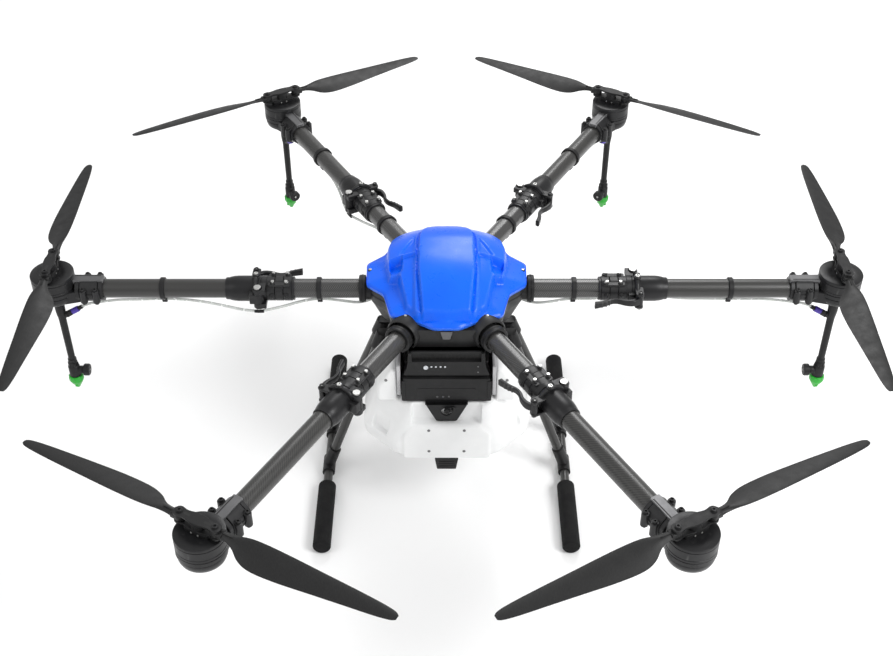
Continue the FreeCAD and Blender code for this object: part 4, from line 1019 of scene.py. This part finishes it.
def root_hose_points(angle):
    """From the clip on the inner tube to the fold pin."""
    low = ARM_Z - HOSE_DROP
    spin = spun(angle)
    places = [(218, -2, low - 7), (253, 0, low), (281, 0, low), (314, 6, low - 4), (350, 19, low - 8),
              (FOLD.x - 1, FOLD.y, low - 9)]
    return [tuple(spin @ Vector(p)) for p in places]


def hoses():
    side_run = [(34.1, 91, 374), (52, 91, 377), (68, 91, 388), (80, 90, 403), (94, 87, 416), (116, 78, 420),
                (148, 52, 422), (182, 16, 432)]
    back_run = [(34.1, 91, 388), (50, 92, 390), (64, 97, 399), (74, 108, 410), (82, 124, 418),
                (92, 150, 424)]

    def mirrored(points):
        return [(-x, y, z) for x, y, z in points]

    runs = {"mr": side_run + root_hose_points(0),
            "br": back_run + root_hose_points(60),
            "ml": mirrored(side_run) + root_hose_points(180),
            "bl": mirrored(back_run) + root_hose_points(120)}
    for name, points in runs.items():
        hose_line("body_hose_" + name, points, ROOT, stands_for=["spray_hoses"])
        angle = ARMS[name]
        hose_line("arm_hose_" + name, arm_hose_points(), "arm_" + name, angle)
        bridge = bmesh.new()
        z = ARM_Z - FOLD_DROP
        line = [Vector((FOLD.x - 9 + k, FOLD.y, z)) for k in range(21)]
        sweep(bridge, line, [3.2 + 0.5 * sin(pi * k / 20) for k in range(21)], steps=16)
        piece = make("flex_sleeve_" + name, bridge, "plastic", ROOT, "black_plastic", (), angle, 0,
                     ride=False)
        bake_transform(piece)


# ---------------------------------------------------------------- canopy
RIM_Z = 508.0
CROWN_Z = 592.5
CANOPY_WALL = 2.4
RIM_STEP = 3.0        # the spacing of the canopy mesh round its rim
CANOPY_HALF = [(26, -170), (66, -145), (114, -129), (129, -60), (166, -28), (168, 43), (130, 77),
               (114, 124), (56, 164)]
PANEL_HALF = [(0, -151), (47, -148), (51, -110), (55, -60), (56, 0), (55, 48), (51, 76), (41, 92),
              (24, 100), (0, 102)]
SHOULDER_HALF = [(0, -160), (58, -150), (84, -124), (93, -80), (100, -45), (118, -41), (122, -14),
                 (127, 12), (127, 54), (120, 90), (104, 116), (58, 146), (0, 152)]
SCOOP = [(91, -40), (113, -43), (118, -20), (119, 2), (91, 2)]


def both_sides(half):
    """An outline and its mirror image, from the half on the +X side."""
    return half + [(-x, y) for x, y in reversed(half) if x > 0]


def depth_in(outline, x, y):
    """Distance from a point to an outline, positive inside it."""
    best, inside = 1e9, False
    for (x0, y0), (x1, y1) in zip(outline, outline[1:] + outline[:1]):
        ex, ey = x1 - x0, y1 - y0
        t = max(0.0, min(1.0, ((x - x0) * ex + (y - y0) * ey) / (ex * ex + ey * ey)))
        best = min(best, hypot(x - x0 - t * ex, y - y0 - t * ey))
        if (y0 > y) != (y1 > y) and x < x0 + (y - y0) * ex / ey:
            inside = not inside
    return best if inside else -best


PANEL = both_sides(PANEL_HALF)
SHOULDER = both_sides(SHOULDER_HALF)


def crown(y):
    """The height of the canopy along its middle."""
    if y < 0:
        return CROWN_Z - 62.0 * (-y / 166.0) ** 2.15
    return CROWN_Z - 60.0 * (max(0.0, y - 30) / 128.0) ** 1.9


def canopy_height(x, y, share):
    """The canopy's outer face over a point in plan, with share 0 at the centre and 1 at the rim."""
    side = abs(x)
    wing = 516.5 + 46.0 * (1 - share) ** 0.9
    shoulder = crown(y) - 7.0 - 34.0 * (side / 126.0) ** 2.3
    front = 1 - ease((y + 4) / 5)
    shoulder -= 7.0 * front * ease((side - 62) / 6)
    facet = depth_in([(64, 2), (64, 66), (100, 4)], side, y)
    shoulder -= 5.0 * ease((facet + 1) / 7)
    scoop = depth_in(SCOOP, side, y)
    shoulder -= 15.0 * ease((scoop + 1) / 5) * (0.55 + 0.45 * ease((y + 44) / 40))
    shoulder = max(shoulder, wing)
    height = wing + (shoulder - wing) * ease((depth_in(SHOULDER, side, y) + 1.5) / 8)
    panel = depth_in(PANEL, side, y)
    groove = 3.2 * ease((panel + 8) / 3) * (1 - ease((panel + 3.5) / 3))
    top = crown(y) - 2.5 * (side / 56.0) ** 2.2
    height -= groove
    return height + (top - height) * ease((panel + 3.5) / 4.5)


def canopy():
    line = rounded(both_sides(CANOPY_HALF), 9, 4)
    rim = []
    for (x0, y0), (x1, y1) in zip(line, line[1:] + line[:1]):
        size = hypot(x1 - x0, y1 - y0)
        steps = max(1, round(size / RIM_STEP))
        rim += [(x0 + (x1 - x0) * k / steps, y0 + (y1 - y0) * k / steps) for k in range(steps)]
    rings = [[Vector((x, y, RIM_Z + 0.2)) for x, y in rim], [Vector((x, y, RIM_Z + 6.5)) for x, y in rim]]
    levels = 64
    for i in range(levels):
        share = 1.0 - 0.004 - (0.996 - 0.006) * i / (levels - 1)
        ring = []
        for x, y in rim:
            px, py = x * share, y * share
            z = canopy_height(px, py, share)
            lip = 1 - ease((1 - share) / 0.03)
            ring.append(Vector((px, py, z - 3.5 * lip)))
        rings.append(ring)
    bm = bmesh.new()
    shell(bm, rings)
    bottom = [f for f in bm.faces if len(f.verts) > 4 and f.calc_center_median().z < RIM_Z + 1]
    bmesh.ops.delete(bm, geom=bottom, context="FACES_ONLY")
    piece = make("canopy", bm, "blue", ROOT, "blue_shell", ["canopy_shell"], bevel=0, smooth=38)
    wall = piece.modifiers.new("wall", "SOLIDIFY")
    wall.thickness = CANOPY_WALL * MM
    wall.offset = -1

    bm = bmesh.new()
    for side in (-1, 1):
        for x, y in ((160, 17), (82, -135), (96, 128)):
            share = 1 + depth_in(both_sides(CANOPY_HALF), x, y) / -hypot(x, y)
            z = canopy_height(x, y, share)
            lathe(bm, [(4.6, -1.5), (4.6, 0.3), (3.8, 0.9)], up_at(side * x, y, z), steps=28)
            socket_screw(bm, (side * x, y, z + 0.7), UP, 3.2, 1.3, 1)
    make("canopy_screws", bm, "plastic steel", ROOT, "steel", bevel=0.15)


def lower_fuselage():
    """The dark fairing under the canopy, with its arm hoods, front box, vents in painted shade, light tab and
    side plates.
    """
    def ring(z, share, grow=-6.0):
        out = []
        for x, y in rounded(both_sides(CANOPY_HALF), 14, 4):
            size = hypot(x, y)
            k = (size + grow) / size * share
            out.append(Vector((x * k, y * k, z)))
        return out

    bm = bmesh.new()
    shell(bm, [ring(RIM_Z - 0.3, 0.985), ring(RIM_Z - 2, 1.0), ring(494, 1.0), ring(492, 0.985),
               ring(489, 0.985),
               ring(487, 0.995), ring(470, 0.99), ring(466, 0.975), ring(428, 0.865), ring(425, 0.85)])
    for name in ("fl", "fr"):
        spin = spun(ARMS[name])
        hood = [(33, 120), (36, 150), (35, 177), (33.4, 180), (31.2, 180), (30.6, 176), (30.6, 120)]
        lathe(bm, hood, spin @ along_arm(), loop=True, steps=64)
    brow = rounded(wedge(66, -163, 72, -130), 6)
    prism(bm, brow, 446, 503, edge=2.5)
    # painted shade: thirteen deep black blocks on the front box stand for the shade in its vents
    for k in range(13):
        x = -54 + 9 * k
        box(bm, (x - 3.0, -163.6, 447), (x + 3.0, -161, 455), 1, edge=0.5, corner=1.2)
    tab = rounded(wedge(12.5, 503, 7.5, 483), 2)
    prism(bm, tab, 162, 167.6, FRONT_ON, 2, edge=0.6)
    for side in (-1, 1):
        plate = rounded([(-158, 500), (-118, 500), (-128, 428), (-150, 428)], 4)
        lean = spun(-side * 12, up_at(side * 119)) @ SIDE_ON
        prism(bm, plate, -1.5, 1.5, lean, 2, edge=0.4)
    make("lower_fairing", bm, "fairing dark grey_metal", ROOT, "black_plastic",
         ["lower_fuselage"], bevel=0.6)


# ---------------------------------------------------------------- tank
def mesh_object(bm):
    """A loose object in millimetres, for booleans and remeshing."""
    bmesh.ops.recalc_face_normals(bm, faces=bm.faces)
    mesh = bpy.data.meshes.new("work")
    bm.to_mesh(mesh)
    bm.free()
    work = bpy.data.objects.new("work", mesh)
    link(work)
    return work


def evaluated(work):
    """The object's mesh with its modifiers applied, and the object removed."""
    bpy.context.view_layer.update()
    seen = work.evaluated_get(bpy.context.evaluated_depsgraph_get())
    mesh = bpy.data.meshes.new_from_object(seen)
    bm = bmesh.new()
    bm.from_mesh(mesh)
    bpy.data.meshes.remove(mesh)
    bpy.data.objects.remove(work)
    return bm


def carve(bm, cutter_bm):
    """One closed mesh with another cut out of it."""
    work, cutter = mesh_object(bm), mesh_object(cutter_bm)
    cut = work.modifiers.new("cut", "BOOLEAN")
    cut.operation = "DIFFERENCE"
    cut.object = cutter
    cut.solver = "EXACT"
    cut.use_self = True
    result = evaluated(work)
    bpy.data.objects.remove(cutter)
    return result


def melt(bm, voxel, passes):
    """Closed shells fused into one skin with soft edges, as a moulding has."""
    work = mesh_object(bm)
    fuse = work.modifiers.new("fuse", "REMESH")
    fuse.mode = "VOXEL"
    fuse.voxel_size = voxel
    even = work.modifiers.new("even", "SMOOTH")
    even.factor = 0.5
    even.iterations = passes
    return evaluated(work)


TANK_DEPTH, TANK_CORNER = 205, 70        # from its middle to its front face, and its cut corners in plan


def tank_ring(z, inset, half, corner=16):
    """A level of the tank, given its half width and how far it is drawn in."""
    front, c = TANK_DEPTH - inset, TANK_CORNER
    x = half - inset
    plan = [(-x + c, -front), (x - c, -front), (x, -front + c), (x, front - c), (x - c, front),
            (-x + c, front), (-x, front - c), (-x, -front + c)]
    return [Vector((px, py, z)) for px, py in rounded(plan, corner, 4)]


def tank():
    bm = bmesh.new()
    shell(bm, [tank_ring(187.5, 14, 174), tank_ring(191, 6, 176), tank_ring(200, 1.5, 178),
               tank_ring(226, 0, 178),
               tank_ring(262, 0, 165.5), tank_ring(300, 0, 152), tank_ring(326, 1, 142.5), tank_ring(332.5,
                                                                                                     8, 141)])
    for side in (-1, 1):
        for y0, y1 in ((-178, -50), (50, 176)):
            ear = rounded([(102, 325), (143, 325), (143, 366), (136, 376), (114, 411), (102, 411)], 6)
            turned = [(side * x, z) for x, z in ear]
            prism(bm, turned, -y1, -y0, FRONT_ON, edge=5)
    hump = rounded([(124, 325), (181, 325), (181, 342), (136, 411), (124, 411)], 6)
    prism(bm, hump, -139, 139, SIDE_ON, edge=5)
    panel = rounded([(-92, 189), (92, 189), (92, 257), (71, 281), (-71, 281), (-92, 257)], 7)
    prism(bm, panel, 196, 208.6, FRONT_ON, edge=2.5)
    back = rounded(wedge(84, 200, 84, 300), 12)
    prism(bm, back, -204.8, -196, FRONT_ON, edge=2)

    cutter = bmesh.new()
    recess = rounded(wedge(72, 285, 72, 360), 5)
    prism(cutter, recess, 188.2, 230, FRONT_ON)
    for sx in (-1, 1):
        for sy in (-1, 1):
            dent = rounded([(-24, 232), (20, 232), (26, 292), (-20, 300)], 6)
            out = Vector((sx * 0.70, sy * 0.72, 0)).normalized()
            spot = Vector((sx * 141, sy * 168, 0)) - out * 9.0
            place = Matrix((Vector((-out.y * sx * sy, out.x * sx * sy, 0)), Vector((0, 0, 1)),
                            out)).transposed().to_4x4()
            prism(cutter, [(x * sx * sy, z) for x, z in dent] if sx * sy > 0 else dent, 0, 40,
                  Matrix.Translation(spot) @ place)
        side_dent = rounded(wedge(70, 250, 60, 300), 8)
        side_place = Matrix(((0, 0, sx, 0), (1, 0, 0, 0), (0, 1, 0, 0), (0, 0, 0, 1)))
        prism(cutter, side_dent, 158, 190, side_place)
    bm = carve(bm, cutter)
    bm = melt(bm, 2.6, 3)
    # painted shade: grey discs on the front panel stand for four small dimples
    for x in (-37, 37):
        for z in (211, 271):
            lathe(bm, [(3.2, 0), (3.2, 1.4), (2.4, 1.8)], frame_at((x, -208.0, z), FRONT), 1, steps=20)
    for side in (-1, 1):
        lathe(bm, [(3.2, 0), (3.2, 1.4)], frame_at((side * 124, -177.6, 384), FRONT), 1, steps=20)
    cap_axis = (0, sin(atan2(70, 48)), cos(atan2(70, 48)))
    neck = frame_at((0, 158, 377), cap_axis)
    lathe(bm, [(40, -3), (40, 8), (39, 8.8), (36, 8.8), (36, -3)], neck, steps=64, loop=True)
    make("tank_body", bm, "tank grey_metal", ROOT, "white_tank", ["tank_shell"], bevel=0, smooth=180)

    bm = bmesh.new()
    lathe(bm, [(46.6, 1.2), (47.4, 2), (47.4, 8), (48, 9), (48, 20), (46.4, 22), (34, 22.4), (32, 21),
               (12, 21), (10.4, 22), (9.4, 29), (8.4, 30)], neck, steps=96)
    ribs(bm, 36, neck, (46.6, 1.3), (48.2, 1.0), 2.5, 19)
    for at in around(4, neck)[:2]:
        prism(bm, rounded(wedge(31, -4.2, 31, 4.2), 4), 20.5, 27.5, at, edge=1.2)
    make("filler_cap_finished", bm, "plastic", "filler_cap", "black_plastic", ["tank_cap"], bevel=0.3)

    bm = bmesh.new()
    sump = rounded([(-25, 181), (25, 181), (25, 174), (20.5, 144), (-20.5, 144), (-25, 174)], 2)
    prism(bm, sump, 140, 196, FRONT_ON, edge=1.2)
    lathe(bm, [(22, 180), (22, 186.8)], up_at(0, -168), steps=56)
    # painted shade: three deep black bars on the sump's front stand for the shade in its slots
    for z in (152, 159, 166):
        box(bm, (-17, -197, z - 1.2), (17, -194, z + 1.2), 1, edge=0.2, corner=0.6)
    lathe(bm, [(7.6, 0), (8, 0.6), (8, 26)], frame_at((0, 112, 362), (0, 1, 0)), steps=32)
    make("tank_outlets", bm, "plastic dark", ROOT, "black_plastic", ["tank_outlet"], bevel=0.3)


# ---------------------------------------------------------------- battery and its bay
FACE_BACK = 164        # how far in front of the drone's middle the parts of the battery's face start
LOCK_PIVOT = (14.0, 325.0)
LOCK_HOLE, LOCK_HOLE_Z = 11, 314        # radius and height


def battery():
    bm = bmesh.new()
    box(bm, (-86, -162, 346), (86, 62, 420), edge=2.0, corner=4)
    half = [(92, 337), (91, 368), (88, 397.6)]
    prism(bm, rounded(both_sides(half), 3), FACE_BACK, 190, FRONT_ON, edge=1.4)
    upper = [(87.6, 404), (80, 424.7), (78, 440)]
    prism(bm, rounded(both_sides(upper), 2.5), FACE_BACK, 186, FRONT_ON, edge=1.0)
    # painted shade: the set-back seam band and handle recess take the deep black
    prism(bm, rounded(wedge(84, 396, 82, 406), 1), FACE_BACK, 181, FRONT_ON, 1)
    prism(bm, rounded(wedge(74, 438, 74, 462), 2), FACE_BACK, 177, FRONT_ON, 1, edge=0.8)
    for side in (-1, 1):
        low, high = sorted((side * 70, side * 77.5))
        prism(bm, rounded([(low, 438), (high, 438), (high, 462), (low, 462)], 2), FACE_BACK, 186, FRONT_ON,
              edge=0.8)
        low, high = sorted((side * 84, side * 92))
        prism(bm, rounded([(low, 339), (high, 339), (high - 0.5, 392), (low, 392)], 2), 188, 191.6,
              FRONT_ON, edge=0.8)
    prism(bm, rounded(wedge(77, 456, 77, 462), 1.5), FACE_BACK, 180, FRONT_ON, edge=0.8)
    prism(bm, rounded(wedge(64, 342, 60, 372), 3), 188, 190.6, FRONT_ON, edge=0.8)
    for k in range(15):
        x = -56 + 8 * k
        box(bm, (x - 1.2, -178.4, 441), (x + 1.2, -176, 455), edge=0.4, corner=0.5)
    for x in (-30.5, -21.5, -12, -3):
        lathe(bm, [(2.1, 0), (2.1, 0.7), (1.6, 1.1)], frame_at((x, -185.6, 427), FRONT), 2, steps=20)
    for z in (413, 428):
        lathe(bm, [(1.6, 0), (1.6, 0.9)], frame_at((64, -185.8, z), FRONT), 3, steps=16)
    for x in (-19, -7, 5):
        socket_screw(bm, (x, -190.2, 350), FRONT, 2.2, 1.2, 3)
    plate = rounded([(-44, 337), (44, 337), (41, 330), (21, 288), (-21, 288), (-41, 330)], 4)
    plate_at = carve_plate(plate)
    bm.from_mesh(plate_at)
    bpy.data.meshes.remove(plate_at)
    prism(bm, rounded(wedge(44, 333.6, 44, 337), 1), 186, 198, FRONT_ON, edge=0.5)
    make("battery_case_finished", bm, "plastic dark led grey_metal", "battery",
         "black_plastic", ["battery_case"], bevel=0.4)

    low, high = node_box("battery_button")
    x, z = (low.x + high.x) / 2, (low.z + high.z) / 2
    bm = bmesh.new()
    lathe(bm, [(5, -6), (5, 0.4), (4.4, 1.2), (3.2, 1.3), (2.9, 0.9)], frame_at((x, low.y + 1.3, z), FRONT),
          steps=40)
    make("power_button", bm, "led", "battery_button", "grey_aluminium", ["battery_button"], bevel=0.15)

    px, pz = LOCK_PIVOT
    bm = bmesh.new()
    lathe(bm, [(5, 198.3), (5, 200.6), (4.2, 201.3)], FRONT_ON @ up_at(px, pz), steps=32)
    finger = rounded([(px, pz + 5), (px - 13, pz + 2.2), (px - 18, pz - 4), (px - 14, pz - 10),
                      (px, pz - 5)], 2)
    prism(bm, finger, 198.3, 201.3, FRONT_ON, edge=0.6)
    lathe(bm, [(6, 198.4), (6, 205), (5.2, 206.3), (3.4, 206.3), (3, 205.6)],
          FRONT_ON @ up_at(px - 13, pz - 4), steps=36)
    for k in range(10):
        a = TAU * k / 10
        tooth = [(5.6 * cos(a + d), 5.6 * sin(a + d)) for d in (-0.12, 0.12)]
        far = [(6.5 * cos(a + d), 6.5 * sin(a + d)) for d in (0.1, -0.1)]
        prism(bm, tooth + far, 199, 205, FRONT_ON @ up_at(px - 13, pz - 4), edge=0.1)
    for radius, back, face in ((2.5, 192.5, 199), (4, 191.6, 193.6)):
        lathe(bm, [(radius, back), (radius, face)], FRONT_ON @ up_at(px, pz), 1, steps=24)
    make("battery_lock_finished", bm, "plastic steel", "battery_lock", "black_plastic", ["battery_lock"],
         bevel=0.25)


def carve_plate(outline):
    """The lock plate with its round hole."""
    bm, cutter = bmesh.new(), bmesh.new()
    prism(bm, outline, 194, 198, FRONT_ON, edge=0.5)
    lathe(cutter, [(LOCK_HOLE, 180), (LOCK_HOLE, 210)], FRONT_ON @ up_at(0, LOCK_HOLE_Z), steps=48)
    bm = carve(bm, cutter)
    mesh = bpy.data.meshes.new("lock_plate")
    bm.to_mesh(mesh)
    bm.free()
    return mesh


def bay():
    """The two rails beside the battery, their lips and screws, and the power socket at the back."""
    bm = bmesh.new()
    for side in (-1, 1):
        web = rounded([(-183, 424.8), (-181, 346), (-176, 342.4), (72, 342.4), (72, 424.8)], 3)
        low, high = sorted((side * 94, side * 101.6))
        prism(bm, web, low, high, SIDE_ON, edge=0.7)
        for near, far, bottom, top in ((80, 95, 342, 345.5), (98, 108, 372, 377)):
            low, high = sorted((side * near, side * far))
            box(bm, (low, -158, bottom), (high, 72, top), edge=0.6)
        for y in (-150, -100, -50, 0, 50):
            socket_screw(bm, (side * 101.2, y, 418), (side, 0, 0), 3.0, 1.8, 1)
    box(bm, (-93.9, 67, 380), (93.9, 71, 424.9), edge=0.6)
    box(bm, (-34, 62.5, 384), (34, 68, 412), 2, edge=1.0, corner=3)
    for x in (-16, 16):
        lathe(bm, [(3.6, 0), (3.6, 30), (2.8, 32)], frame_at((x, 64, 398), FRONT), 1, steps=28)
    make("battery_rails", bm, "rail steel plastic", ROOT, "grey_aluminium", ["battery_bay"],
         bevel=0.4)


for arm, angle in ARMS.items():
    arm_tube(arm, angle)
    fittings(arm, angle)
    lever(arm, angle)
    rotor(arm, angle)
    blades(arm, angle)
for arm in SPRAY_ARMS:
    lance_parts(arm, ARMS[arm])
hoses()
inner_tubes()
clamps()
canopy()
lower_fuselage()
tank()
battery()
bay()
build_stage()

cad = {"centre_plates": "twill", "landing_gear_tubes": "twill", "landing_gear_clamps": "plastic",
       "skid_foam": "foam", "avionics": "plastic", "spray_pump": "plastic", "battery_cells": "wrap",
       "pins_and_screws": "steel"}
for node, finish in cad.items():
    soften_cad(node, 0.6, finish)
